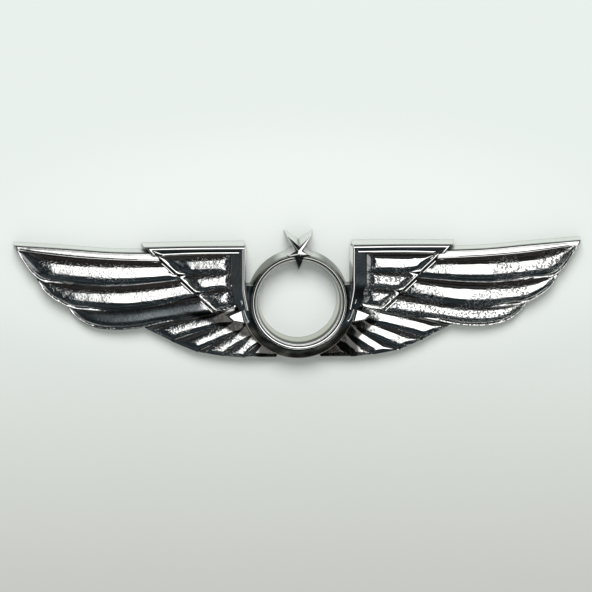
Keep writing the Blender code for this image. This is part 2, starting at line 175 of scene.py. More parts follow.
def speckle(where, scale, detail=3.0):
    """Noise from 0 to 1, with its features about 1 / scale units across."""
    inputs = {"Vector": where, "Scale": scale, "Detail": detail}
    return node(where.tree, "ShaderNodeTexNoise", None, inputs)


def patches(where, scale, detail, low, high):
    """Blotches of 1 on 0: a speckle with an eased edge between two of its levels."""
    return smooth_step(speckle(where, scale, detail), low, high)


def mix_colour(amount, first, second):
    """A mix of two colours, each a socket or a plain (red, green, blue)."""
    first, second = (c if isinstance(c, Value) else (*c, 1.0) for c in (first, second))
    inputs = {0: amount, 6: first, 7: second}
    return node(amount.tree, "ShaderNodeMix", {"data_type": "RGBA"}, inputs, out=2)


def layered(colour, *layers):
    """Lays colours over a first one, each with its own amount."""
    for amount, tone in layers:
        colour = mix_colour(amount, colour, tone)
    return colour


print("steps ready: edges, speckles and layers of colour")

# %% [markdown]
# ## The light
#
# Bright plate has no colour of its own: what is seen is the room. One broad window in front, low
# and to the right, gives the white streaks on the feather crowns, and a curtain covers its left
# part. The dark, cluttered room round it gives the black flanks, and a dim wall at the left greys
# the faces that lean that way. Behind the badge the room is pale. A panorama of a room could light
# it, but a few masks on the sky keep every part of the room adjustable. The sheet and everything
# matt is lit evenly, with one soft lamp from above for the shadow under the lower edges.

# %% Sky
world = bpy.data.worlds.new("studio")
bpy.context.scene.world = world
world.use_nodes = True
sky = world.node_tree
sky.nodes.clear()
direction = node(sky, "ShaderNodeTexCoord", out="Generated")
to_right, ahead, rise = axes(direction)
azimuth = node(sky, "ShaderNodeMath", {"operation": "ARCTAN2"}, {0: to_right, 1: ahead * -1.0})
elevation = node(sky, "ShaderNodeMath", {"operation": "ARCSINE"}, {0: rise})
print("sky nodes for the directions:", len(sky.nodes))

# %% Window and its curtain
WINDOW_PLACE = (math.radians(11), math.radians(-10))
WINDOW_HALF_SIZE = (math.radians(15), math.radians(22))
WINDOW_SQUARENESS = 4.0
WINDOW_BLUR = 0.35
CURTAIN_EDGE = (math.radians(-2.5), math.radians(1.5))
CURTAIN_LEAK = 0.04

window_across = (azimuth - WINDOW_PLACE[0]) / WINDOW_HALF_SIZE[0]
window_up = (elevation - WINDOW_PLACE[1]) / WINDOW_HALF_SIZE[1]
from_window = window_across ** WINDOW_SQUARENESS + window_up ** WINDOW_SQUARENESS
curtain = CURTAIN_LEAK + (1.0 - CURTAIN_LEAK) * smooth_step(azimuth, *CURTAIN_EDGE)
window = fade(from_window, 1.0 - WINDOW_BLUR, 1.0 + WINDOW_BLUR) * curtain
print("window half size in degrees:", [round(math.degrees(half)) for half in WINDOW_HALF_SIZE])

# %% Room round the window
SIDE_WALL_EDGE = (math.radians(-48), math.radians(-35))
SIDE_WALL_MIDDLE = math.radians(-20)
SIDE_WALL_SPREAD = (math.radians(8), math.radians(30))
BEHIND_EDGE = (-0.05, 0.25)
FLOOR_TO_CEILING = (-0.3, 0.7)
CLUTTER_SCALE = 7.0
BLACK_CLUTTER = (0.36, 0.52)
GREY_CLUTTER = (0.5, 0.74)
ROOM_BLACK = (0.006, 0.007, 0.007)
ROOM_NAVY = (0.017, 0.025, 0.029)
ROOM_BROWN = (0.03, 0.025, 0.023)
ROOM_GREY = (0.085, 0.1, 0.11)
ROOM_SIDE = (0.38, 0.4, 0.4)
ROOM_PALE = (0.72, 0.74, 0.73)
WINDOW_LIGHT = (1.8, 1.8, 1.764)
SHEET_WHITE = (0.79, 0.86, 0.82)
EVEN_LIGHT = (0.46, 0.46, 0.46)

from_wall = elevation - SIDE_WALL_MIDDLE
side_wall = fade(azimuth, *SIDE_WALL_EDGE) * within(from_wall * from_wall, *SIDE_WALL_SPREAD)
clutter = speckle(direction, CLUTTER_SCALE)
dark_room = mix_colour(smooth_step(elevation, *FLOOR_TO_CEILING), ROOM_NAVY, ROOM_BROWN)
room = layered(
    ROOM_BLACK,
    (smooth_step(clutter, *BLACK_CLUTTER), dark_room),
    (smooth_step(clutter, *GREY_CLUTTER), ROOM_GREY),
    (side_wall, ROOM_SIDE),
    (smooth_step(ahead, *BEHIND_EDGE), ROOM_PALE),
    (window, WINDOW_LIGHT),
)
seen_by_metal = node(sky, "ShaderNodeLightPath", out="Is Glossy Ray")
seen_by_camera = node(sky, "ShaderNodeLightPath", out="Is Camera Ray")
seen = layered(EVEN_LIGHT, (seen_by_metal, room), (seen_by_camera, SHEET_WHITE))
light = node(sky, "ShaderNodeBackground", None, {"Color": seen, "Strength": 1.0})
node(sky, "ShaderNodeOutputWorld", None, {"Surface": light})
print("world nodes:", len(sky.nodes))

# %% Lamp from above
LAMP_STRENGTH = 2.35
LAMP_BREADTH = math.radians(36)
LAMP_SHINES = Vector((0.05, 0.74, -0.67))
lamp = bpy.data.lights.new("top_lamp", "SUN")
lamp.energy = LAMP_STRENGTH
lamp.angle = LAMP_BREADTH
lamp_object = bpy.data.objects.new("top_lamp", lamp)
lamp_object.rotation_euler = LAMP_SHINES.to_track_quat("-Z", "Y").to_euler()
lamp_object.visible_glossy = False
bpy.context.scene.collection.objects.link(lamp_object)
bpy.context.scene.view_settings.view_transform = "Standard"
print("lamp strength:", LAMP_STRENGTH)

# %% [markdown]
# ## Curves for the feathers
#
# Every feather lies between an upper and a lower edge. A few points fix each edge, and a smooth
# curve through them gives as many stations as the mesh needs. The points are those of the solid,
# so the fine mesh sits where the solid is. Four values go with the edges: the level of the rim,
# how far along each edge the feather is tucked against its neighbour, how fast its crown rises
# from the root, and how much it droops on the way to the tip.

# %% Edge curves
ALL_ALONG = 1.3
FAN_SHAPE = ((ALL_ALONG, ALL_ALONG), 0.3, 0.04)
# Each has its upper edge, lower edge, rim level, tucked share of both edges, rise and droop
FEATHERS = {
    "first_primary": (
        ((17.8, 5.6), (24.0, 5.85), (31.0, 6.4), (37.7, 7.3)),
        (
            (15.4, 3.3), (22.4, 2.6), (28.5, 2.45), (32.9, 2.6),
            (34.5, 3.15), (35.6, 4.05), (36.5, 5.3), (37.3, 6.55),
        ),
        1.65, (ALL_ALONG, 0.7), 1.7, 0.0,
    ),
    "second_primary": (
        ((15.3, 3.0), (22.4, 2.35), (29.0, 2.35), (34.8, 3.0)),
        (
            (13.3, 1.05), (19.0, -0.3), (25.0, -0.95), (29.5, -0.85),
            (31.3, -0.3), (33.0, 0.75), (34.3, 1.95),
        ),
        1.6, (ALL_ALONG, 0.7), 1.7, 0.0,
    ),
    "third_primary": (
        ((12.9, 0.55), (18.5, -0.4), (25.0, -1.0), (30.9, -0.65)),
        (
            (10.9, -1.15), (16.4, -2.3), (20.7, -3.4), (23.7, -3.75),
            (26.5, -3.6), (28.6, -2.9), (30.4, -1.5),
        ),
        2.0, (ALL_ALONG, 0.42), 1.7, 0.065,
    ),
    "first_covert": (
        ((9.1, 6.5), (13.0, 6.4), (18.9, 6.3)),
        ((9.1, 4.15), (12.5, 4.0), (16.3, 3.85)),
        2.3, (ALL_ALONG, 0.95), 1.0, 0.02,
    ),
    "second_covert": (
        ((9.1, 4.1), (12.0, 3.95), (16.3, 3.65)),
        ((9.1, 2.1), (11.0, 1.85), (13.9, 1.35)),
        2.25, (0.95, 0.95), 1.0, 0.02,
    ),
    "third_covert": (
        ((8.9, 2.05), (11.0, 1.75), (13.7, 1.1)),
        ((8.2, -0.6), (9.3, -0.95), (11.2, -1.25)),
        2.2, (0.95, 0.0), 1.0, 0.03,
    ),
    "first_fan": (
        ((8.6, -0.95), (15.2, -2.35), (20.2, -3.7)),
        ((8.4, -2.45), (13.8, -4.0), (17.2, -5.2)),
        1.65, *FAN_SHAPE,
    ),
    "second_fan": (
        ((7.7, -2.3), (13.0, -4.2), (16.7, -5.5)),
        ((7.4, -3.4), (11.4, -5.5), (13.8, -6.75)),
        1.65, *FAN_SHAPE,
    ),
    "third_fan": (
        ((6.8, -3.2), (10.6, -5.6), (13.2, -6.85)),
        ((6.2, -4.2), (9.0, -6.3), (10.3, -7.4)),
        1.65, *FAN_SHAPE,
    ),
    "fourth_fan": (
        ((5.7, -4.1), (8.4, -6.3), (9.9, -7.4)),
        ((4.9, -4.85), (6.8, -6.7), (7.4, -7.65)),
        1.6, *FAN_SHAPE,
    ),
    "fifth_fan": (
        ((4.2, -5.1), (6.2, -6.7), (7.2, -7.6)),
        ((2.6, -6.1), (3.0, -6.95), (3.3, -7.6)),
        1.55, *FAN_SHAPE,
    ),
}


def smooth_path(points, share):
    """Places at the given shares of a smooth curve's length through (x, z) points, as an array."""
    knots = np.array(points, float)
    steps = np.linalg.norm(np.diff(knots, axis=0), axis=1)
    lengths = np.concatenate([[0.0], np.cumsum(steps)])
    order = np.arange(len(knots))
    before, after = np.maximum(order - 1, 0), np.minimum(order + 1, len(knots) - 1)
    slopes = (knots[after] - knots[before]) / (lengths[after] - lengths[before])[:, None]
    distance = lengths[-1] * share
    i = np.clip(np.searchsorted(lengths, distance, "right") - 1, 0, len(steps) - 1)
    span = steps[i][:, None]
    t = (distance - lengths[i])[:, None] / span
    return (
        knots[i] * (1 + 2 * t) * (1 - t) ** 2 + slopes[i] * span * t * (1 - t) ** 2
        + knots[i + 1] * t * t * (3 - 2 * t) + slopes[i + 1] * span * t * t * (t - 1)
    )


print("crowned feathers on each wing:", len(FEATHERS))

# %% [markdown]
# ## The shape of a feather
#
# Each feather has a thin raised rim, then a steep flank, then a broad, nearly flat crown. It could
# be sculpted, but all three follow from one number: how far a point is from the feather's outline.
# So one function shapes every feather alike. The feathers of the fan have no rim and rounder
# crowns. A little waviness is added, because the casting was polished by hand and its crowns
# aren't true.

# %% Feather heights
DRAFT = math.tan(math.radians(6))
BEHIND = 0.6
EDGE_ROUND = 0.12
RIM_INSET = 0.15
RIM_HALF_WIDTH = 0.22
RIM_HEIGHT = 0.06
CROWN_INSET = RIM_INSET + RIM_HALF_WIDTH
CROWN_POWER = 2.4
FAN_POWER = 2.35
FLANK_SLOPE = 1.05
LEAST_HALF_CROWN = 0.05
WAVE = 0.007
LONG_WAVES = (1.1, 1.6, 3.0)
SHORT_WAVES = (2.9, 3.3, 9.0)
SHORT_WAVE_SHARE = 0.45


def soft_min(a, b, round_off):
    """The smaller of two distances, with the corner between them rounded."""
    blend = np.clip(0.5 + 0.5 * (b - a) / round_off, 0, 1)
    return b + (a - b) * blend - round_off * blend * (1 - blend)


def rounded_edge(distance, radius=EDGE_ROUND):
    """How far the surface lies below the rim where its outer edge is rounded."""
    inside = np.clip(radius - distance, 0, radius)
    return radius - np.sqrt(radius ** 2 - inside ** 2)


def ripple(x, z, waves):
    """Noise at one place, with the waves' rate along and across the wing and their own layer."""
    return noise.noise((x * waves[0], z * waves[1], waves[2]))


def waviness(x, z, size):
    """Two scales of gentle noise, in millimetres of height."""
    heights = [
        ripple(a, b, LONG_WAVES) + SHORT_WAVE_SHARE * ripple(a, b, SHORT_WAVES)
        for a, b in zip(x.ravel(), z.ravel())
    ]
    return size * np.array(heights).reshape(x.shape)


def bead(distance, centre, half_width, height):
    """A raised line with a rounded top and sharp feet."""
    return height * np.clip(1 - ((distance - centre) / half_width) ** 2, 0, None)


def feather_height(distance, half_width, edge, free, power):
    """Rim, flank and crown. Along an edge that isn't free, the flank runs straight into a groove."""
    inset = CROWN_INSET * free
    inward = np.clip((distance - inset) / np.maximum(half_width - inset, LEAST_HALF_CROWN), 0, 1)
    crown = FLANK_SLOPE * np.maximum(half_width - CROWN_INSET, LEAST_HALF_CROWN) / power
    rim = bead(distance, RIM_INSET, RIM_HALF_WIDTH, RIM_HEIGHT) - rounded_edge(distance)
    return edge + free * rim + crown * (1 - (1 - inward) ** power)


print("rim mm:", RIM_HEIGHT, "flank slope:", FLANK_SLOPE)

# %% [markdown]
# ## Skinning a ridge
#
# A ridge is a loft: sections from the upper to the lower edge, each with sides that spread towards
# the back as a casting's do so that it leaves its mould. The points crowd near the edges and the
# tip, where the rim needs them. The skin is closed, because the ridges are joined as solids later.


# %% Closed skins
def closed_mesh(name, points, faces, weld=None, triangles=False):
    """A mesh from points in millimetres, with its faces turned outwards."""
    mesh = bpy.data.meshes.new(name)
    mesh.from_pydata((np.array(points) * MM).tolist(), [], faces)
    bm = bmesh.new()
    bm.from_mesh(mesh)
    if weld:
        bmesh.ops.remove_doubles(bm, verts=bm.verts, dist=weld)
        bmesh.ops.dissolve_degenerate(bm, edges=bm.edges, dist=weld)
    bmesh.ops.recalc_face_normals(bm, faces=bm.faces)
    if triangles:
        bmesh.ops.triangulate(bm, faces=bm.faces)
    bm.to_mesh(mesh)
    bm.free()
    return mesh


def skin(name, sections):
    """A closed mesh over sections of equal length, with both ends capped."""
    stations, count = sections.shape[:2]
    ids = np.arange(stations * count).reshape(stations, count)
    near, far = ids[:-1], ids[1:]
    quads = np.stack([near, np.roll(near, -1, 1), np.roll(far, -1, 1), far], -1).reshape(-1, 4)
    faces = quads.tolist() + [ids[0][::-1].tolist(), ids[-1].tolist()]
    return closed_mesh(name, sections.reshape(-1, 3), faces)


print("metres in a millimetre of skin:", MM)

# %% Ridge lofts
ACROSS = 34
EDGE_CROWDING = 0.6
TIP_CROWDING = 1.6
STATIONS_PER_MM = 4.2
LEAST_STATIONS = 16
OVERLAP = 0.3
TUCK_FADE = 0.25
END_SPREAD = 0.4


def across_steps(count):
    """Steps from -1 to 1 that crowd towards both ends."""
    even = np.linspace(-1, 1, count)
    return (1 - EDGE_CROWDING) * even + EDGE_CROWDING * np.sin(even * math.pi / 2)


def off_line(spots, start, way):
    """Distance of each spot from a line through a point."""
    return np.abs((spots[..., 0] - start[0]) * way[1] - (spots[..., 1] - start[1]) * way[0])


def ridge(name, edges, edge, height, shared=(0.0, 0.0), wave=WAVE):
    """Lofts a ridge whose height is a function of place, and returns its mesh."""
    upper, lower = edges
    length = sum(math.dist(a, b) for a, b in zip(upper, upper[1:]))
    stations = max(LEAST_STATIONS, int(length * STATIONS_PER_MM))
    share = 1 - np.linspace(1, 0, stations) ** TIP_CROWDING
    up, low = smooth_path(upper, share), smooth_path(lower, share)
    across = (low - up) / np.linalg.norm(low - up, axis=1)[:, None]
    tucked = [np.clip((until - share) / TUCK_FADE, 0, 1)[:, None] for until in shared]
    up = up - across * OVERLAP * tucked[0]
    low = low + across * OVERLAP * tucked[1]
    along = np.gradient((up + low) / 2, axis=0)
    along = along / np.linalg.norm(along, axis=1)[:, None]
    square = np.abs(across[:, :1] * along[:, 1:] - across[:, 1:] * along[:, :1])
    t = across_steps(ACROSS)[None, :]
    spots = up[:, None] + (low - up)[:, None] * ((t[0] + 1) / 2)[None, :, None]
    half = square * np.linalg.norm(low - up, axis=1)[:, None] / 2
    at = SimpleNamespace(
        edge=edge, half=half, share=(1 + t) / 2, upper=(1 + t) * half, lower=(1 - t) * half,
        root=off_line(spots, up[0], across[0]), tip=off_line(spots, up[-1], across[-1]),
        run=share[:, None] * length,
        free=1 - np.where(t < 0, tucked[0], tucked[1]),
    )
    top = height(at) + waviness(spots[..., 0], spots[..., 1], wave)
    spread = (edge + BEHIND) * DRAFT
    shift = np.zeros((stations, 1))
    shift[0], shift[-1] = -END_SPREAD * spread, END_SPREAD * spread
    base_up = up - across * spread + along * shift
    base_low = low + across * spread + along * shift
    sections = np.zeros((stations, ACROSS + 2, 3))
    sections[:, 1:-1, 0], sections[:, 1:-1, 2] = spots[..., 0], spots[..., 1]
    sections[:, 1:-1, 1] = -top
    for column, base in ((0, base_up), (-1, base_low)):
        sections[:, column, 0], sections[:, column, 2] = base[:, 0], base[:, 1]
        sections[:, column, 1] = BEHIND
    return skin(name, sections)


print("points across a ridge:", ACROSS)

# %% Feathers
CORNER_ROUND = 0.2
RIM_FADE = 0.3


def feather_mesh(name, upper, lower, edge, shared, root_rise, droop):
    """A feather, with its rim carried round its tip. Its crown rises from the root at the given rate."""
    fan = "fan" in name
    power = FAN_POWER if fan else CROWN_POWER

    def height(at):
        sides = np.minimum(at.upper, at.lower)
        at_tip = np.clip(0.5 + (sides - at.tip) / RIM_FADE, 0, 1)
        free = at.free if fan else np.maximum(at.free, at_tip)
        ends = soft_min(root_rise * at.root, at.tip, CORNER_ROUND)
        distance = np.maximum(soft_min(sides, ends, CORNER_ROUND), 0)
        return feather_height(distance, at.half, at.edge, free, power) - droop * at.run

    return ridge(name, (upper, lower), edge, height, shared)


relief = {name: feather_mesh(name, *shape) for name, shape in FEATHERS.items()}
print("feather faces:", sum(len(mesh.polygons) for mesh in relief.values()))

# %% [markdown]
# ## The shoulder
#
# A narrow bar runs along the top of each wing, and an arm runs down beside the ring. Both have a
# bright rim, and their faces lean towards the feathers, which is why they look dark. The leading
# edge continues the line of the bar to the tip of the wing with three close beads. Beside the ring
# a bead runs past the roots of the fans, with a low pad next to it. All of them are ridges too, so
# each needs only its edges and a function for its height.

# %% Shoulder edges
LEADING_EDGE = (
    ((19.0, 6.85), (25.0, 7.0), (31.0, 7.5), (37.9, 8.0)),
    ((18.6, 5.65), (25.0, 5.9), (31.0, 6.4), (37.75, 7.35)),
)
SHOULDER_BAR = (
    ((7.3, 7.75), (14.0, 7.77), (20.7, 7.7)),
    ((7.3, 6.55), (14.0, 6.55), (19.5, 6.35)),
)
SHOULDER_ARM = (
    ((7.2, 7.3), (7.2, 3.5), (7.2, 1.8), (6.7, -1.0)),
    ((9.15, 7.2), (9.15, 3.5), (8.9, 1.2), (8.0, -1.0)),
)
ROOT_BEAD = (
    ((7.9, 0.3), (7.5, -1.2), (6.95, -2.6), (5.1, -4.9)),
    ((7.45, 0.3), (7.05, -1.2), (6.55, -2.4), (4.8, -4.55)),
)
TERTIAL = (
    ((7.5, -0.9), (8.5, -1.25), (9.8, -1.8)),
    ((7.1, -2.9), (7.8, -2.8), (9.0, -2.55)),
)
LEADING_LEVEL = 1.95
TERTIAL_LEVEL = 2.1
SHOULDER_LEVEL = 2.65
BEAD_LEVEL = 2.3
print("shoulder from x mm:", SHOULDER_ARM[0][0][0], "to", LEADING_EDGE[0][-1][0])

# %% Shoulder heights
FACE_LEAN = 0.36
BAR_ROUND = 0.28
BAR_FACE = 0.45
ARM_FACE = 0.3
PAD_HEIGHT = 0.14
PAD_ROUND = 0.26
BEAD_FALL = 0.05
TIP_CLOSING = 2.0
LEAST_CLOSED = 0.3
SHOULDER_WAVE = 0.3 * WAVE
# Each bead has its place across the ridge, its half-width and its height, in millimetres
BAR_UPPER_BEAD = (0.32, 0.24, 0.06)
BAR_LOWER_BEAD = (0.14, 0.13, 0.04)
ARM_BEAD = (0.16, 0.17, 0.06)
# These have their place and half-width as shares of the ridge's width
LEADING_BEADS = ((0.2, 0.14, 0.04), (0.6, 0.27, 0.045), (0.93, 0.08, 0.03))
ROOT_BEAD_SHAPE = (0.5, 0.55, 0.25)


def leading_height(at):
    """Three beads, the middle one broadest, that sink towards the tip."""
    beads = sum(bead(at.share, *line) for line in LEADING_BEADS)
    outside = np.minimum(at.upper, at.tip)
    return at.edge + beads * np.clip(at.tip / TIP_CLOSING, LEAST_CLOSED, 1) - rounded_edge(outside, BAR_ROUND)


def bar_height(at):
    """A broad bead along the top, a face that leans to the feathers, and a thin bead below it."""
    upper = np.minimum(at.upper, at.tip)
    face = -FACE_LEAN * np.clip(upper - BAR_FACE, 0, None)
    lines = bead(upper, *BAR_UPPER_BEAD) + bead(at.lower, *BAR_LOWER_BEAD)
    return at.edge + face + lines - rounded_edge(upper, BAR_ROUND) - rounded_edge(at.lower)


def arm_height(at):
    """A thin bead beside the ring, and a face that leans to the feathers."""
    face = -FACE_LEAN * np.clip(at.upper - ARM_FACE, 0, None)
    return at.edge + face + bead(at.upper, *ARM_BEAD) - rounded_edge(at.upper)


def root_bead_height(at):
    """One round bead that falls towards its lower end."""
    return at.edge + bead(at.share, *ROOT_BEAD_SHAPE) - BEAD_FALL * at.root


def tertial_height(at):
    """A low pad with a flat top."""
    inside = np.minimum(np.minimum(at.upper, at.lower), np.minimum(at.root, at.tip))
    return at.edge + PAD_HEIGHT * (1 - (1 - np.clip(inside / PAD_ROUND, 0, 1)) ** 2)


for name, edges, level, height in (
    ("leading_edge", LEADING_EDGE, LEADING_LEVEL, leading_height),
    ("shoulder_bar", SHOULDER_BAR, SHOULDER_LEVEL, bar_height),
    ("shoulder_arm", SHOULDER_ARM, SHOULDER_LEVEL, arm_height),
    ("tertial", TERTIAL, TERTIAL_LEVEL, tertial_height),
    ("root_bead", ROOT_BEAD, BEAD_LEVEL, root_bead_height),
):
    relief[name] = ridge(name, edges, level, height, wave=SHOULDER_WAVE)
print("ridges on each wing:", len(relief))

# %% [markdown]
# ## Lips beside the short feathers
#
# Past the slanting tip of each short feather, the long feather below it starts with a thin lip. It
# shows as a second bright line beside the rim. It is a very narrow ridge along the tip, so its
# place is worked out from the ends of the short feather's edges.

# %% Lips
LIP_LEVELS = {"first_covert": 2.1, "second_covert": 2.1, "third_covert": 2.28}
LIP_SIDES = (0.14, 0.42)
LIP_SHARES = (0.3, 0.6, 0.92)
LIP_BEAD = (0.5, 0.55, 0.045)


def lip_height(at):
    """A thin bead with a nearly flat top."""
    return at.edge + bead(at.share, *LIP_BEAD)


for name, level in LIP_LEVELS.items():
    top, bottom = (np.array(edge[-1]) for edge in FEATHERS[name][:2])
    outwards = np.array((top[1] - bottom[1], bottom[0] - top[0])) / np.linalg.norm(bottom - top)
    spine = [top + (bottom - top) * share for share in LIP_SHARES]
    edges = [[tuple(spot + outwards * off) for spot in spine] for off in LIP_SIDES]
    relief[name + "_lip"] = ridge(name + "_lip", edges, level, lip_height, wave=0.0)
print("ridges on each wing, with lips:", len(relief))

# %% [markdown]
# ## The ring and its band
#
# A torus would be too round for the ring, which has a broad and a thin crest and walls that spread
# to the back. So its profile is drawn and turned, as on a lathe. The band below it is a wider
# turned piece that slopes away, cut off above the middle.

# %% Turned shapes
RING_STEPS = 192
WELD = 1e-7
RING_FRONT = 2.76
CREST_RADII = np.linspace(6.36, 5.7, 27)
RING_CRESTS = ((6.13, 0.2, 0.055), (5.84, 0.09, 0.035))


def turned(name, profile, steps):
    """A closed (radius, height) profile in millimetres, turned about the Y axis as a closed mesh."""
    angles = np.linspace(0, math.tau, steps, endpoint=False)
    rings = [
        np.stack([radius * np.cos(angles), np.full(steps, height), radius * np.sin(angles)], 1)
        for radius, height in profile
    ]
    ids = np.arange(steps * len(profile)).reshape(steps, len(profile))
    after = np.roll(ids, -1, 0)
    quads = np.stack([ids, np.roll(ids, -1, 1), np.roll(after, -1, 1), after], -1).reshape(-1, 4)
    return closed_mesh(name, np.stack(rings, 1).reshape(-1, 3), quads.tolist(), weld=WELD)


def arc(centre, radius, start, end, count):
    """Points of an arc in the (radius, height) plane, from one angle to another in degrees."""
    turns = np.radians(np.linspace(start, end, count))
    return [(centre[0] + radius * math.cos(a), centre[1] + radius * math.sin(a)) for a in turns]


ring_profile = [(5.08, BEHIND), (6.9, BEHIND), (6.52, -2.35), (6.4, -2.68)]
for radius in CREST_RADII:
    ring_profile.append((radius, -RING_FRONT - sum(bead(radius, *crest) for crest in RING_CRESTS)))
ring_profile += [(5.66, -2.68), (5.55, -2.35)]
band_profile = [(6.0, BEHIND), (7.9, BEHIND), (7.66, -2.0)]
band_profile += arc((7.52, -2.1), 0.16, 0, -80, 5)
band_profile += [(6.75, -2.55), (6.0, -2.72)]
relief_ring = turned("ring", ring_profile, RING_STEPS)
relief_band = turned("band", band_profile, RING_STEPS)
print("ring faces:", len(relief_ring.polygons), "band faces:", len(relief_band.polygons))

# %% [markdown]
# ## The star
#
# The small star stands over the top of the ring, and its lowest point reaches down across it. An
# extruded outline would have a flat front, but the star is faceted, with ridges from its points to
# a very small flat at its peak. So its few faces are written out.

# %% Star
STAR_CENTRE = 6.9
# Radius and level of each corner, from the lowest point up one side to the top
STAR_CORNERS = ((2.5, 2.3), (0.95, 3.06), (1.5, 3.22), (0.52, 3.14), (2.7, 3.16), (0.74, 2.85))
STAR_FLAT = 0.3
STAR_PEAK = 3.25
STAR_SPREAD = 0.7
STAR_SIDES = 10


def star_mesh():
    """Facets that slope from a small flat to each corner, on walls that spread to the back."""
    points = []
    for i in range(STAR_SIDES):
        radius, level = STAR_CORNERS[min(i, STAR_SIDES - i)]
        angle = math.tau * i / STAR_SIDES - math.pi / 2
        for reach, depth in ((radius + STAR_SPREAD, BEHIND), (radius, -level), (STAR_FLAT, -STAR_PEAK)):
            points.append((reach * math.cos(angle), depth, STAR_CENTRE + reach * math.sin(angle)))
    back, front, flat = (list(range(row, len(points), 3)) for row in range(3))
    faces = [back, flat]
    for i in range(STAR_SIDES):
        j = (i + 1) % STAR_SIDES
        faces.append((back[i], back[j], front[j], front[i]))
        faces += [(front[i], front[j], flat[j]), (front[i], flat[j], flat[i])]
    return closed_mesh("star", points, faces)


relief_star = star_mesh()
print("star facets:", len(relief_star.polygons))

# %% [markdown]
# ## Joining the casting
#
# The real badge is one casting, so the pieces of relief become one solid. Meshes that only overlap
# would look much the same, but a Boolean union leaves one closed mesh, and the manifold solver is
# quick. The floor between the feathers is a plain plate, and one last cut makes the back flat. Each
# piece keeps one of two grades of plate, because the feathers still show the grain of the casting
# and the other pieces don't.

# %% Workshop
workshop = bpy.data.collections.new("workshop")
bpy.context.scene.collection.children.link(workshop)


def slab(name, outline, front, back):
    """An outline in the badge's plane, given thickness from front to back."""
    count = len(outline)
    points = [(x, y, z) for y in (front, back) for x, z in outline]
    faces = [list(range(count)), list(range(2 * count - 1, count - 1, -1))]
    faces += [[i, (i + 1) % count, count + (i + 1) % count, count + i] for i in range(count)]
    return closed_mesh(name, points, faces, triangles=True)


def mirrored(mesh):
    """The same mesh on the other wing."""
    other = mesh.copy()
    other.transform(Matrix.Diagonal((-1, 1, 1, 1)))
    other.flip_normals()
    return other


def place(name, mesh, collection=None):
    """An object with this mesh, in the scene or in the workshop."""
    made = bpy.data.objects.new(name, mesh)
    (collection or bpy.context.scene.collection).objects.link(made)
    return made


def apply_modifiers(target):
    """Keeps what the object's modifiers make as its own mesh."""
    bpy.context.view_layer.update()
    result = bpy.data.meshes.new_from_object(target.evaluated_get(bpy.context.evaluated_depsgraph_get()))
    target.modifiers.clear()
    target.data = result


def boolean(target, operation, other):
    """Joins or cuts with the manifold solver."""
    step = target.modifiers.new(operation.lower(), "BOOLEAN")
    step.operation = operation
    step.solver = "MANIFOLD"
    step.object = other
    apply_modifiers(target)
    bpy.data.objects.remove(other)


def box(name, low, high):
    """A box between two corners, in the workshop."""
    corners = [(low[0], low[2]), (high[0], low[2]), (high[0], high[2]), (low[0], high[2])]
    return place(name, slab(name, corners, low[1], high[1]), workshop)


print("workshop collection:", workshop.name)

# %% Union
FLOOR_HEIGHT = 0.7
FLOOR_OUTLINE = (
    (0.0, -6.9), (3.6, -7.1), (8.0, -7.0), (12.0, -6.5), (16.0, -4.9), (20.5, -3.1),
    (27.0, -3.1), (29.4, -1.6), (30.1, -0.6), (33.2, 1.5), (33.6, 3.1), (35.9, 5.4),
    (37.0, 7.1), (31.0, 7.0), (20.6, 6.3), (20.2, 7.2), (7.7, 7.2), (7.5, 3.0),
    (6.6, 1.0), (6.6, -1.0), (5.6, -3.6), (3.8, -5.6), (0.0, -6.4),
)
ABOVE_BAND = ((-10, -9, 2.3), (10, 9, 20))
BEHIND_BACK = ((-50, 0, -20), (50, 5, 20))
SHARP_FOLD = math.radians(32)
CAST, POLISHED = 0, 1
chrome = [bpy.data.materials.new(name) for name in ("cast_plate", "polished_plate")]


def plated(mesh, grade):
    """Gives a piece of the relief both grades of plate, and uses one of them."""
    mesh.materials.clear()
    for material in chrome:
        mesh.materials.append(material)
    mesh.polygons.foreach_set("material_index", np.full(len(mesh.polygons), grade, np.int32))
    return mesh


casting = place("wings_relief", plated(slab("wings_relief", FLOOR_OUTLINE, -FLOOR_HEIGHT, BEHIND), CAST))
boolean(casting, "UNION", place("other_floor", mirrored(casting.data), workshop))
band = place("band", relief_band, workshop)
boolean(band, "DIFFERENCE", box("above_band", *ABOVE_BAND))
for name, mesh in relief.items():
    plated(mesh, CAST if name in FEATHERS else POLISHED)
    boolean(casting, "UNION", place("feather", mesh, workshop))
    boolean(casting, "UNION", place("other_feather", mirrored(mesh), workshop))
for middle_piece in (band, place("ring", relief_ring, workshop), place("star", relief_star, workshop)):
    plated(middle_piece.data, POLISHED)
    boolean(casting, "UNION", middle_piece)
behind_back = box("behind_back", *BEHIND_BACK)
plated(behind_back.data, CAST)
boolean(casting, "DIFFERENCE", behind_back)
casting.data.shade_smooth()
casting.data.set_sharp_from_angle(angle=SHARP_FOLD)
print("casting faces:", len(casting.data.polygons))

# %% [markdown]
# ## Where the plate differs, and where shade is painted
#
# The plate isn't the same all over. One long feather of the left wing has lost some polish, and
# its dark bluish tone is painted shade. The fans have painted shade at their roots, where the ring
# and the shoulder shade them. On the ring the upper crest, the lip of the window and the outer side
# have painted shade, the inner wall a painted reflection of the shaded sheet, and the band below
# is warm. Each place is a mask from a few lines and circles in the badge's plane, in millimetres,
# so nothing has to be painted by hand.

# %% Dull feather, with painted shade
DULL_REACH = (-14.0, -11.5)
DULL_ARC = (-23.65, 7.23)
DULL_ARC_STARTS = (-24.5, -23.0)
DULL_ARC_RADIUS = (10.5, 10.7)
DULL_TOP_SLOPE = 0.11
DULL_TOP = (1.5, 1.8)
DULL_BOTTOM_SLOPE = 0.256
DULL_BOTTOM = (1.9, 2.2)


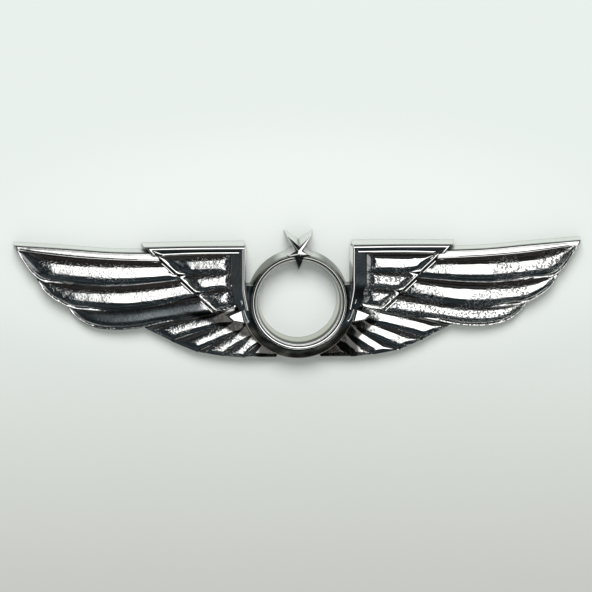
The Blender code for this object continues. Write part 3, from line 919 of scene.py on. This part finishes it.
def dull_shaded_feather(across, up):
    """1 on the third long feather of the left wing, inside its rim, where its dark tone is painted shade."""
    outward = (across - DULL_ARC[0]) * fade(across, *DULL_ARC_STARTS)
    upward = up - DULL_ARC[1]
    in_arc = within(outward * outward + upward * upward, *DULL_ARC_RADIUS)
    below_top = fade(up - across * DULL_TOP_SLOPE, *DULL_TOP)
    above_bottom = smooth_step(up - across * DULL_BOTTOM_SLOPE, *DULL_BOTTOM)
    return fade(across, *DULL_REACH) * below_top * above_bottom * in_arc


print("dull feather starts at x mm:", DULL_REACH[1])

# %% Painted shade at the roots of the fans
WING_DIVIDE = (-0.5, 0.5)
RIGHT_ROOTS = (13.4, 14.0)
RIGHT_ROOTS_SLOPE = 1.12
RIGHT_ROOTS_TOP = (-2.6, -2.0)
LEFT_ROOTS = (-8.2, -7.6)
LEFT_ROOTS_SLOPE = 0.43
LEFT_ROOTS_REACH = (-17.0, -15.0)
LEFT_ROOTS_TOP = (-1.4, -1.0)
LOW_ROOTS_MIDDLE = 1.3
LOW_ROOTS_REACH = (6.4, 7.4)
LOW_ROOTS_TOP = (-5.4, -4.6)


def fan_root_shade(across, up):
    """1 where shade is painted at the roots of the fans: a stretch on the right, one on the left and one
    below the ring.
    """
    right = smooth_step(across, *WING_DIVIDE)
    right_end = fade(across - up * RIGHT_ROOTS_SLOPE, *RIGHT_ROOTS)
    right_roots = right * right_end * fade(up, *RIGHT_ROOTS_TOP)
    left_end = smooth_step(up + across * LEFT_ROOTS_SLOPE, *LEFT_ROOTS)
    left_end = left_end * smooth_step(across, *LEFT_ROOTS_REACH)
    left_roots = (1.0 - right) * left_end * fade(up, *LEFT_ROOTS_TOP)
    from_ring = across - LOW_ROOTS_MIDDLE
    low_roots = within(from_ring * from_ring, *LOW_ROOTS_REACH) * fade(up, *LOW_ROOTS_TOP)
    return 1.0 - (1.0 - left_roots) * (1.0 - right_roots) * (1.0 - low_roots)


print("dark roots below z mm:", RIGHT_ROOTS_TOP[1], "on the right,", LEFT_ROOTS_TOP[1], "on the left")

# %% Places on the ring
INSIDE_RING = (5.6, 5.8)
LIP_DEPTH = (-2.1, -1.6)
RING_SIDE = (8.4, 8.9)
BESIDE_STAR = (1.4, 3.6)
RING_CREST = (6.6, 6.9)
CREST_RISE = (-4.5, 0.5)
BAND_INSIDE = (6.5, 6.6)
BAND_FALL = (-4.0, -2.5)


def ring_places(across, depth, up):
    """The inside of the ring, the lip of its window, its outer side, its upper crest and its band."""
    radius = across * across + up * up
    inside = within(radius, *INSIDE_RING)
    return SimpleNamespace(
        inside=inside,
        lip=inside * fade(depth, *LIP_DEPTH),
        side=within(radius, *RING_SIDE) * beyond(across * across, *BESIDE_STAR),
        crest=within(radius, *RING_CREST) * smooth_step(up, *CREST_RISE),
        band=beyond(radius, *BAND_INSIDE) * fade(up, *BAND_FALL),
    )


print("ring's dark side ends at radius mm:", RING_SIDE[1])

# %% [markdown]
# ## Bright plate
#
# The casting is plated and polished, but it isn't a perfect mirror. The plate has a fine orange
# peel, the crowns are a little hazy and pitted, more so on the right wing, and polish and dirt have
# stayed in the grooves, which also get painted shade. The walls are less polished than the front
# and mirror the pale sheet; their feet get a painted shadow, and the steep edges of the relief are
# painted dark as shade. Grooves are found with ambient occlusion, which is cheap and follows any
# shape, and walls with the way they face.

# %% Finish helpers
OPEN_FACE = (0.3, 0.85)


def finish(material, paint):
    """Sets a material's Principled inputs from a function of its node tree and coordinates."""
    material.use_nodes = True
    tree = material.node_tree
    surface = tree.nodes["Principled BSDF"]
    for name, given in paint(tree, node(tree, "ShaderNodeTexCoord", out="Object")).items():
        feed(surface.inputs[name], given)
    return material


def hollows(tree, distance):
    """1 in grooves and corners, 0 on open faces."""
    settings = {"samples": 8, "only_local": True}
    open_face = node(tree, "ShaderNodeAmbientOcclusion", settings, {"Distance": distance}, out="AO")
    return fade(open_face, *OPEN_FACE)


def bumps(height, distance):
    """A normal for small unevenness that is as deep as the given distance."""
    inputs = {"Height": height, "Distance": distance, "Strength": 1.0}
    return node(height.tree, "ShaderNodeBump", None, inputs)


print("a face counts as open above", OPEN_FACE[1])

# %% Bright plate
PLATE = (0.86, 0.86, 0.85)
HAZY_PLATE = (0.78, 0.79, 0.80)
DARK_PIT = (0.12, 0.12, 0.12)
DULL_FEATHER_SHADE = (0.24, 0.27, 0.285)
UPPER_CREST_SHADE = (0.26, 0.27, 0.24)
WARM_BAND = (1.0, 0.8, 0.63)
FAN_ROOT_SHADE = (0.03, 0.027, 0.025)
STEEP_EDGE_SHADE = (0.1, 0.1, 0.1)
PALE_WALL = (0.86, 0.88, 0.84)
RING_WALL_SHADE = (0.2, 0.22, 0.18)
INNER_WALL_REFLECTION = (0.64, 0.65, 0.57)
LIP_SHADE = (0.06, 0.065, 0.05)
WALL_FOOT_SHADOW = (0.2, 0.21, 0.19)
GROOVE_DIRT_AND_SHADE = (0.06, 0.055, 0.05)
# Patches have the scale and detail of their speckle, then the two levels of their edge
HAZE = (420.0, 5.0, 0.42, 0.72)
WEAR = (230.0, 2.0, 0.4, 0.56)
PITS = (3600.0, 2.0, 0.52, 0.62)
PEEL_SCALE = 3200.0
GROOVE_REACH = 0.8 * MM
PLATE_GRAIN = 0.03 * MM
ROUGHER_SIDE = (-25.0, 10.0)
LEAST_ROUGH = 0.35
WALL_FACING = (-0.4, -0.2)
STEEP_FACING = (-0.8, -0.6)
FOOT_DEPTH = (-0.35, 0.0)


def paint_chrome(cast):
    """Bright plate. The amount of cast texture is 0 for a polished piece and 1 for the feathers."""

    def paint(tree, where):
        across, depth, up = (axis / MM for axis in axes(where))
        rougher_side = LEAST_ROUGH + (1.0 - LEAST_ROUGH) * smooth_step(across, *ROUGHER_SIDE)
        peel = speckle(where, PEEL_SCALE)
        haze = patches(where, *HAZE)
        worn = patches(where, *WEAR) * rougher_side * cast
        pits = patches(where, *PITS) * worn
        dull = dull_shaded_feather(across, up) * cast
        roots = fan_root_shade(across, up) * cast
        ring = ring_places(across, depth, up)
        dirt_and_shade = hollows(tree, GROOVE_REACH)
        _, facing, _ = axes(node(tree, "ShaderNodeNewGeometry", out="Normal"))
        wall = smooth_step(facing, *WALL_FACING)
        steep_shade = smooth_step(facing, *STEEP_FACING)
        foot_shadow = smooth_step(depth, *FOOT_DEPTH) * wall
        # painted shade on the ring's outer wall and on the lip of its window, and a painted reflection of the
        # shaded sheet on its inner wall
        wall_tone = layered(
            PALE_WALL, (ring.side, RING_WALL_SHADE), (ring.inside, INNER_WALL_REFLECTION), (ring.lip, LIP_SHADE)
        )
        colour = layered(
            PLATE,
            (haze, HAZY_PLATE),
            (pits * 0.8, DARK_PIT),
            # painted shade: the dull feather's dark bluish tone, on a rougher plate
            (dull, DULL_FEATHER_SHADE),
            # painted shade on the ring's upper crest
            (ring.crest * 0.8, UPPER_CREST_SHADE),
            (ring.band * (1.0 - cast), WARM_BAND),
            # painted shade at the roots of the fans
            (roots * 0.95, FAN_ROOT_SHADE),
            # painted shade on the steep edges of the relief
            (steep_shade * 0.8, STEEP_EDGE_SHADE),
            (wall, wall_tone),
            # painted shadow at the feet of the walls
            (foot_shadow * 0.5, WALL_FOOT_SHADOW),
            # dirt and painted shade in the grooves, found by ambient occlusion
            (dirt_and_shade * 0.95, GROOVE_DIRT_AND_SHADE),
        )
        grain = peel * (0.1 + (haze * 0.4 + worn * 0.6) * (cast - dull * 0.6)) - pits * 0.7
        return {
            "Base Color": colour,
            "Metallic": 1.0,
            "Roughness": 0.05 + haze * 0.05 + wall * 0.15 + dirt_and_shade * 0.25 + dull * 0.2,
            "Normal": bumps(grain, PLATE_GRAIN),
        }

    return paint


for grade, cast in ((CAST, 1.0), (POLISHED, 0.0)):
    finish(chrome[grade], paint_chrome(cast))
print("chrome nodes:", len(chrome[CAST].node_tree.nodes))

# %% [markdown]
# ## Steel, brass and bronze
#
# The posts are drawn steel wire, the clutches pressed brass, and their springs bronze wire. Drawing
# and pressing leave fine lines, made here from a speckle that is stretched along the metal. Brass
# and bronze have also tarnished in patches. The three yellow metals differ only in colour and
# gloss, so one function paints them all.

# %% Steel, brass and bronze
LINE_DEPTH = 0.004 * MM
# Lines have the stretch and the scale of their speckle
WIRE_LINES = ((5.0, 1.0, 5.0), 1500.0)
PRESS_LINES = ((1.0, 6.0, 1.0), 2200.0)
TARNISH = (500.0, 4.0, 0.4, 0.75)
WIRE_HOLLOWS = 0.5 * MM
PRESS_HOLLOWS = 0.6 * MM
STEEL = (0.66, 0.65, 0.62)
STEEL_DIRT_AND_SHADE = (0.14, 0.13, 0.12)
YELLOW_DIRT_AND_SHADE = (0.12, 0.08, 0.035)
# Each yellow metal has a clean tone, a tarnished tone and a roughness
YELLOW_METALS = {
    "clutch_brass": ((0.82, 0.61, 0.27), (0.60, 0.40, 0.15), 0.16),
    "wing_brass": ((0.86, 0.67, 0.33), (0.66, 0.46, 0.19), 0.18),
    "spring_bronze": ((0.72, 0.48, 0.27), (0.48, 0.28, 0.13), 0.24),
}


def drawn_lines(where, stretch, scale):
    """A speckle pulled out into lines."""
    drawn = node(where.tree, "ShaderNodeMapping", None, {"Vector": where, "Scale": stretch})
    return speckle(drawn, scale, 4.0)


def paint_steel(tree, where):
    """Drawn wire, with dirt and painted shade in the groove and under the head."""
    lines = drawn_lines(where, *WIRE_LINES)
    dirt_and_shade = hollows(tree, WIRE_HOLLOWS)
    return {
        "Base Color": mix_colour(dirt_and_shade * 0.7, STEEL, STEEL_DIRT_AND_SHADE),
        "Metallic": 1.0,
        "Roughness": 0.2 + lines * 0.15 + dirt_and_shade * 0.2,
        "Normal": bumps(lines, LINE_DEPTH),
    }


def paint_yellow(clean, tarnished, rough):
    """Brass or bronze: fine lines, tarnish in patches, and dirt and painted shade in the corners."""

    def paint(tree, where):
        lines = drawn_lines(where, *PRESS_LINES)
        tarnish = patches(where, *TARNISH)
        dirt_and_shade = hollows(tree, PRESS_HOLLOWS)
        return {
            "Base Color": layered(clean, (tarnish * 0.7, tarnished), (dirt_and_shade * 0.7, YELLOW_DIRT_AND_SHADE)),
            "Metallic": 1.0,
            "Roughness": rough + lines * 0.12 + tarnish * 0.1 + dirt_and_shade * 0.2,
            "Normal": bumps(lines, LINE_DEPTH),
        }

    return paint


metals = {"post_steel": finish(bpy.data.materials.new("post_steel"), paint_steel)}
for name, look in YELLOW_METALS.items():
    metals[name] = finish(bpy.data.materials.new(name), paint_yellow(*look))
print("metals:", *metals)

# %% [markdown]
# ## Posts
#
# Each post is a nail whose head is soldered behind a wing. It has a groove near its point, where
# the jaws of the clutch catch it. A nail is round, so its profile is turned like the ring's.

# %% Nail posts
POST_X = 15.0
POST_Z = 1.3
POST_STEPS = 48
CREASE = math.radians(40)
SIDES = (("left", -POST_X), ("right", POST_X))


def moved(mesh, x, y, z, turn=0.0):
    """The mesh turned about its own Y axis and set down at a place in millimetres."""
    mesh.transform(Matrix.Translation(Vector((x, y, z)) * MM) @ Matrix.Rotation(turn, 4, "Y"))
    return mesh


def dress(name, mesh, body, slot, stands_for):
    """Puts a finished piece in the scene, in its metal, on its body and in place of its solid."""
    made = place(name, mesh)
    mesh.shade_smooth()
    mesh.set_sharp_from_angle(angle=CREASE)
    mesh.materials.clear()
    mesh.materials.append(metals[slot])
    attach(made, body)
    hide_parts(stands_for)
    return made


post_profile = [(0.0, 6.5), (0.05, 6.48), (0.12, 6.35), (0.34, 5.95), (0.55, 5.6)]
post_profile += [(0.55, 5.22), (0.52, 5.18)] + arc((0.52, 5.0), 0.1, 120, 240, 5)
post_profile += [(0.52, 4.82), (0.55, 4.78)]
post_profile += [(0.55, 1.2)] + arc((0.95, 1.0), 0.4, 165, 255, 6) + [(0.98, 0.56)]
post_profile += arc((2.05, 0.41), 0.15, 90, 0, 5) + [(2.2, 0.12)] + arc((2.13, 0.12), 0.07, 0, -90, 4)
post_profile += [(0.0, 0.05)]
for side, x in SIDES:
    nail = moved(turned(f"{side}_nail", post_profile, POST_STEPS), x, 0, POST_Z)
    dress(f"{side}_nail", nail, "badge", "post_steel", f"{side}_post")
print("posts at x mm:", -POST_X, POST_X)

# %% [markdown]
# ## Squeeze clutches
#
# A clutch is pressed from thin brass. Its base lies on the cloth, and its domed cover is held in
# the base's rolled rim. Both are round, so they are turned like the ring and the posts, and the two
# windows for the wings are cut through the cover with a box.

# %% Clutch base and cover
CLUTCH_FACE = 2.1
COVER_RADIUS = 3.75
COVER_SHEET = 0.35
COVER_TOP = 4.95
DOME_STARTS = 2.5
CLUTCH_STEPS = 96
COVER_WINDOWS = ((-5.2, 1.0, -1.75), (5.2, 1.75, 1.75))
GROOVE_MIDDLES = (4.4, 3.0)
PRESSED_GROOVE = ((0.2, 0.0), (0.1, 0.06), (-0.1, 0.06), (-0.2, 0.0))

base_profile = [(0.8, 0.68)] + arc((0.93, 0.68), 0.11, 170, 10, 5) + [(1.06, 0.5), (1.16, 0.36)]
base_profile += [(5.0, 0.35)] + arc((5.02, 0.5), 0.14, -80, 0, 4) + [(5.15, 0.8), (4.92, 0.8)]
base_profile += [(4.9, 0.86)] + arc((5.24, 0.66), 0.25, 105, 0, 7) + arc((5.26, 0.24), 0.24, 0, -90, 6)
for middle in GROOVE_MIDDLES:
    base_profile += [(middle + off, depth) for off, depth in PRESSED_GROOVE]
base_profile += [(0.95, 0.0)] + arc((0.95, 0.15), 0.15, -100, -170, 4)


def dome(radius, rise, angles):
    """Points of a dome's profile at the given angles in degrees, above where it starts."""
    return [(radius * math.cos(a), DOME_STARTS + rise * math.sin(a)) for a in np.radians(angles)]


cover_inside = COVER_RADIUS - COVER_SHEET
dome_rise = COVER_TOP - DOME_STARTS
dome_angles = np.linspace(90, 0, 19)
cover_profile = dome(COVER_RADIUS, dome_rise, dome_angles)
cover_profile += [(COVER_RADIUS, 1.15)] + arc((4.0, 1.02), 0.25, 180, 262, 6)
cover_profile += [(4.35, 0.75), (4.42, 0.69), (4.58, 0.69), (4.65, 0.75), (5.0, 0.75)]
cover_profile += arc((5.0, 0.7), 0.05, 60, 0, 3) + [(5.05, 0.4), (cover_inside, 0.4)]
cover_profile += dome(cover_inside, dome_rise - COVER_SHEET, dome_angles[::-1])


def cover_mesh(name):
    """The domed cover with the two windows for the wings cut through its side."""
    cover = place(name + "_blank", turned(name, cover_profile, CLUTCH_STEPS), workshop)
    boolean(cover, "DIFFERENCE", box("windows", *COVER_WINDOWS))
    mesh = cover.data
    bpy.data.objects.remove(cover)
    return mesh


print("clutch diameter mm:", 2 * max(radius for radius, _ in base_profile), "height mm:", COVER_TOP)

# %% [markdown]
# ## Squeeze wings
#
# Two wings reach in through the windows of the cover. Each has a jaw on the far side of the post,
# so squeezing the tabs opens the jaws. A box could be pushed into shape, but a wing is made here as
# a press makes it: a flat blank is cut out, bent and given its thickness.

# %% Clutch wings
WING_LEVEL = 1.35
WING_SHEET = 0.3
WING_HALF_WIDTH = 1.45
WING_BODY = 2.8
WING_SOFT_EDGE = 0.06
JAW = 0.62
JAW_EDGE = JAW + 0.02
HOOK = -0.35
BEND_START = 4.4
BEND_RADIUS = 1.2
BEND_ANGLE = math.radians(52)
BEND_STEPS = 10
TAB_END = 7.6
TAB_HALF_WIDTH = 2.4
TAB_ROUND = 0.55 * TAB_HALF_WIDTH
LUG = ((WING_BODY + 0.05, WING_LEVEL, -0.7), (WING_BODY + 0.35, WING_LEVEL + 0.75, 0.7))


def wing_outline():
    """Flat blank of one wing: finger tab, body, arm past the post, and the hooked jaw."""
    straight = TAB_END - TAB_ROUND
    tab = [(BEND_START, WING_HALF_WIDTH), (BEND_START + 0.35, WING_HALF_WIDTH + 0.05)]
    tab += [(straight - 0.75, TAB_HALF_WIDTH - 0.12), (straight - 0.4, TAB_HALF_WIDTH)]
    for degrees in range(10, 91, 10):
        angle = math.radians(degrees)
        tab.append((straight + TAB_ROUND * math.sin(angle), TAB_HALF_WIDTH * math.cos(angle)))
    other_side = [(a, -b) for a, b in reversed(tab[:-1])]
    body = [(WING_BODY, -WING_HALF_WIDTH), (WING_BODY, JAW_EDGE)]
    jaw = [(-JAW, JAW_EDGE), (-JAW, HOOK), (-WING_HALF_WIDTH, HOOK), (-WING_HALF_WIDTH, WING_HALF_WIDTH)]
    return tab + other_side + body + jaw


def bent(a, b):
    """Where a point of the flat blank lies once the tab is bent up."""
    over = a - BEND_START
    if over <= 0:
        return Vector((a, WING_LEVEL, b))
    turn = min(over / BEND_RADIUS, BEND_ANGLE)
    straight = max(over - BEND_RADIUS * BEND_ANGLE, 0)
    out = BEND_START + BEND_RADIUS * math.sin(turn) + straight * math.cos(BEND_ANGLE)
    up = WING_LEVEL + BEND_RADIUS * (1 - math.cos(turn)) + straight * math.sin(BEND_ANGLE)
    return Vector((out, up, b))


def wing_mesh(name):
    """The blank cut at its bend lines, bent, thickened and given its spring lug and softened edges."""
    bm = bmesh.new()
    bm.faces.new([bm.verts.new((a, b, 0)) for a, b in wing_outline()])
    for step in range(BEND_STEPS + 1):
        line = BEND_START + BEND_RADIUS * BEND_ANGLE * step / BEND_STEPS
        geometry = bm.verts[:] + bm.edges[:] + bm.faces[:]
        bmesh.ops.bisect_plane(bm, geom=geometry, plane_co=(line, 0, 0), plane_no=(1, 0, 0), dist=1e-5)
    for vert in bm.verts:
        vert.co = bent(vert.co.x, vert.co.y) * MM
    bmesh.ops.recalc_face_normals(bm, faces=bm.faces)
    blank = bpy.data.meshes.new(name)
    bm.to_mesh(blank)
    bm.free()
    wing = place(name + "_blank", blank, workshop)
    sheet = wing.modifiers.new("sheet", "SOLIDIFY")
    sheet.thickness = WING_SHEET * MM
    sheet.offset = 0
    sheet.use_even_offset = True
    soften = wing.modifiers.new("soften", "BEVEL")
    soften.width = WING_SOFT_EDGE * MM
    soften.segments = 2
    soften.limit_method = "ANGLE"
    soften.angle_limit = CREASE
    apply_modifiers(wing)
    boolean(wing, "UNION", box("lug", *LUG))
    mesh = wing.data
    bpy.data.objects.remove(wing)
    return mesh


print("wing blank points:", len(wing_outline()))

# %% [markdown]
# ## Springs
#
# A split ring of wire inside the cover pushes the wings out again. A curve with a round bevel would
# do, but sweeping the wire's section along an arc uses the skin of the feathers and closes the
# ends. Then every piece of a clutch is there, and both clutches are put on their posts.

# %% Clutch spring
SPRING_RADIUS = 2.5
SPRING_WIRE = 0.2
SPRING_LEVEL = 1.8
SPRING_GAP = math.radians(50)
SPRING_STEPS = 64
WIRE_STEPS = 12


def spring_mesh(name):
    """A split ring: a round wire swept along an arc, with flat ends."""
    gap_middle = math.pi / 2
    turns = np.linspace(gap_middle + SPRING_GAP / 2, gap_middle + math.tau - SPRING_GAP / 2, SPRING_STEPS)
    wire = np.linspace(0, math.tau, WIRE_STEPS, endpoint=False)
    radius = SPRING_RADIUS + SPRING_WIRE * np.cos(wire)
    sections = np.zeros((SPRING_STEPS, WIRE_STEPS, 3))
    sections[..., 0] = np.cos(turns)[:, None] * radius[None]
    sections[..., 1] = SPRING_LEVEL + SPRING_WIRE * np.sin(wire)[None]
    sections[..., 2] = np.sin(turns)[:, None] * radius[None]
    return skin(name, sections)


print("spring wire mm:", 2 * SPRING_WIRE)

# %% Both clutches
for side, x in SIDES:
    spot = (x, CLUTCH_FACE, POST_Z)
    clutch = f"{side}_clutch"
    base = moved(turned(f"{side}_base", base_profile, CLUTCH_STEPS), *spot)
    dress(f"{side}_base", base, clutch, "clutch_brass", f"{clutch}_base")
    cover = moved(cover_mesh(f"{side}_cover"), *spot)
    dress(f"{side}_cover", cover, clutch, "clutch_brass", f"{clutch}_cover")
    ring = moved(spring_mesh(f"{side}_spring"), *spot)
    spring = dress(f"{side}_spring", ring, clutch, "spring_bronze", f"{clutch}_spring")
    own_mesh(spring)
    for name, turn in (("outer", 0.0 if x > 0 else math.pi), ("inner", math.pi if x > 0 else 0.0)):
        tab = f"{side}_{name}_tab"
        wing = moved(wing_mesh(tab), *spot, turn)
        dress(tab, wing, f"{side}_{name}_wing", "wing_brass", f"{clutch}_{name}_wing")
print("clutches at y mm:", CLUTCH_FACE)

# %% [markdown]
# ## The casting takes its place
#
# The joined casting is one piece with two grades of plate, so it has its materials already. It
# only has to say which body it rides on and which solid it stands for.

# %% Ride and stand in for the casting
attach(casting, "badge")
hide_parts("wings_casting")
print("casting rides on the badge")

# %% [markdown]
# ## The sheet
#
# The badge lies against a pale sheet, which gives it its soft shadow and its pale side walls. The
# sheet is cut away where the badge covers it and shows only from the front, so the back, the posts
# and the clutches can be seen and lit from behind. A round piece of it closes the ring's window.

# %% Sheet
SHEET_PLACE = 0.2
SHEET_HALF = 700.0
# The corners of the floor's outline that lie outside the ring, then an arc along the ring
OUTER_CORNERS = FLOOR_OUTLINE[1:19]
COVERED_RADIUS = 6.5
COVERED_ARC = np.linspace(13, 85, 13)
RING_DISC = 5.4


def round_points(radius, degrees):
    """Points on a circle in the badge's plane."""
    return [(radius * math.cos(a), radius * math.sin(a)) for a in np.radians(degrees)]


def sheet_mesh():
    """A large square with a hole behind the badge, and a disc behind the ring's window."""
    bm = bmesh.new()
    outside = [(SHEET_HALF * x, SHEET_HALF * z) for x, z in ((-1, -1), (1, -1), (1, 1), (-1, 1))]
    half = list(OUTER_CORNERS) + round_points(COVERED_RADIUS, COVERED_ARC)
    covered = half + [(-x, z) for x, z in reversed(half)]
    disc = round_points(RING_DISC, np.linspace(0, 360, 64, endpoint=False))
    for rims in ((outside, covered), (disc,)):
        edges = []
        for rim in rims:
            verts = [bm.verts.new(Vector((x, SHEET_PLACE, z)) * MM) for x, z in rim]
            edges += [bm.edges.new(pair) for pair in zip(verts, verts[1:] + verts[:1])]
        bmesh.ops.triangle_fill(bm, edges=edges, use_beauty=True, normal=(0, -1, 0))
    for face in bm.faces:
        if face.normal.y > 0:
            face.normal_flip()
    mesh = bpy.data.meshes.new("sheet")
    bm.to_mesh(mesh)
    bm.free()
    return mesh


print("sheet lies mm behind the back's plane:", SHEET_PLACE)

# %% [markdown]
# ## Paper
#
# The sheet is matt paper with a faint mottle. Its colour has painted shade low down and painted
# light round the badge and in the ring's window. A mix of a matt and a clear surface, chosen by the
# side that is seen, hides it from behind.

# %% Paper
SHEET_SHADED_LOW = (0.52, 0.525, 0.49)
SHEET_HIGH = (0.81, 0.87, 0.835)
SHEET_PAINTED_LIGHT = (0.93, 0.97, 0.945)
RING_WINDOW_PAINTED_LIGHT = (0.95, 1.0, 0.97)
SHEET_MOTTLE = (0.80, 0.84, 0.80)
SHEET_SHADING = (-60.0, 22.0)
NEAR_MIDDLE = 7.0
NEAR_HALF_SIZE = (55.0, 20.0)
NEAR_EDGE = (0.1, 1.0)
IN_RING = (5.3, 5.5)
RING_SHADING = (-1.0, 4.5)
MOTTLE_SCALE = 60.0


def paint_sheet():
    """Matt paper seen from the front, and nothing at all from behind. Its colour has painted light round the
    badge and in the ring's window, and painted shade low down.
    """
    material = bpy.data.materials.new("sheet_paper")
    material.use_nodes = True
    tree = material.node_tree
    tree.nodes.clear()
    where = node(tree, "ShaderNodeTexCoord", out="Object")
    across, _, height = (axis / MM for axis in axes(where))
    wide = across / NEAR_HALF_SIZE[0]
    high = (height - NEAR_MIDDLE) / NEAR_HALF_SIZE[1]
    near = fade(wide * wide + high * high, *NEAR_EDGE)
    ring_window_light = within(across * across + height * height, *IN_RING)
    ring_window_light = ring_window_light * smooth_step(height, *RING_SHADING)
    mottle = speckle(where, MOTTLE_SCALE, 4.0)
    # painted shade low down, painted light round the badge and in the ring's window; the mottle is the
    # paper's own
    colour = layered(
        SHEET_SHADED_LOW,
        (smooth_step(height, *SHEET_SHADING), SHEET_HIGH),
        (near * 0.55, SHEET_PAINTED_LIGHT),
        (ring_window_light, RING_WINDOW_PAINTED_LIGHT),
        (mottle * 0.06, SHEET_MOTTLE),
    )
    paper = node(tree, "ShaderNodeBsdfDiffuse", None, {"Color": colour})
    clear = node(tree, "ShaderNodeBsdfTransparent")
    from_behind = node(tree, "ShaderNodeNewGeometry", out="Backfacing")
    surface = node(tree, "ShaderNodeMixShader", None, {0: from_behind, 1: paper, 2: clear})
    node(tree, "ShaderNodeOutputMaterial", None, {"Surface": surface})
    return material


sheet = place("sheet", sheet_mesh())
sheet.data.materials.append(paint_sheet())
print("sheet faces:", len(sheet.data.polygons))
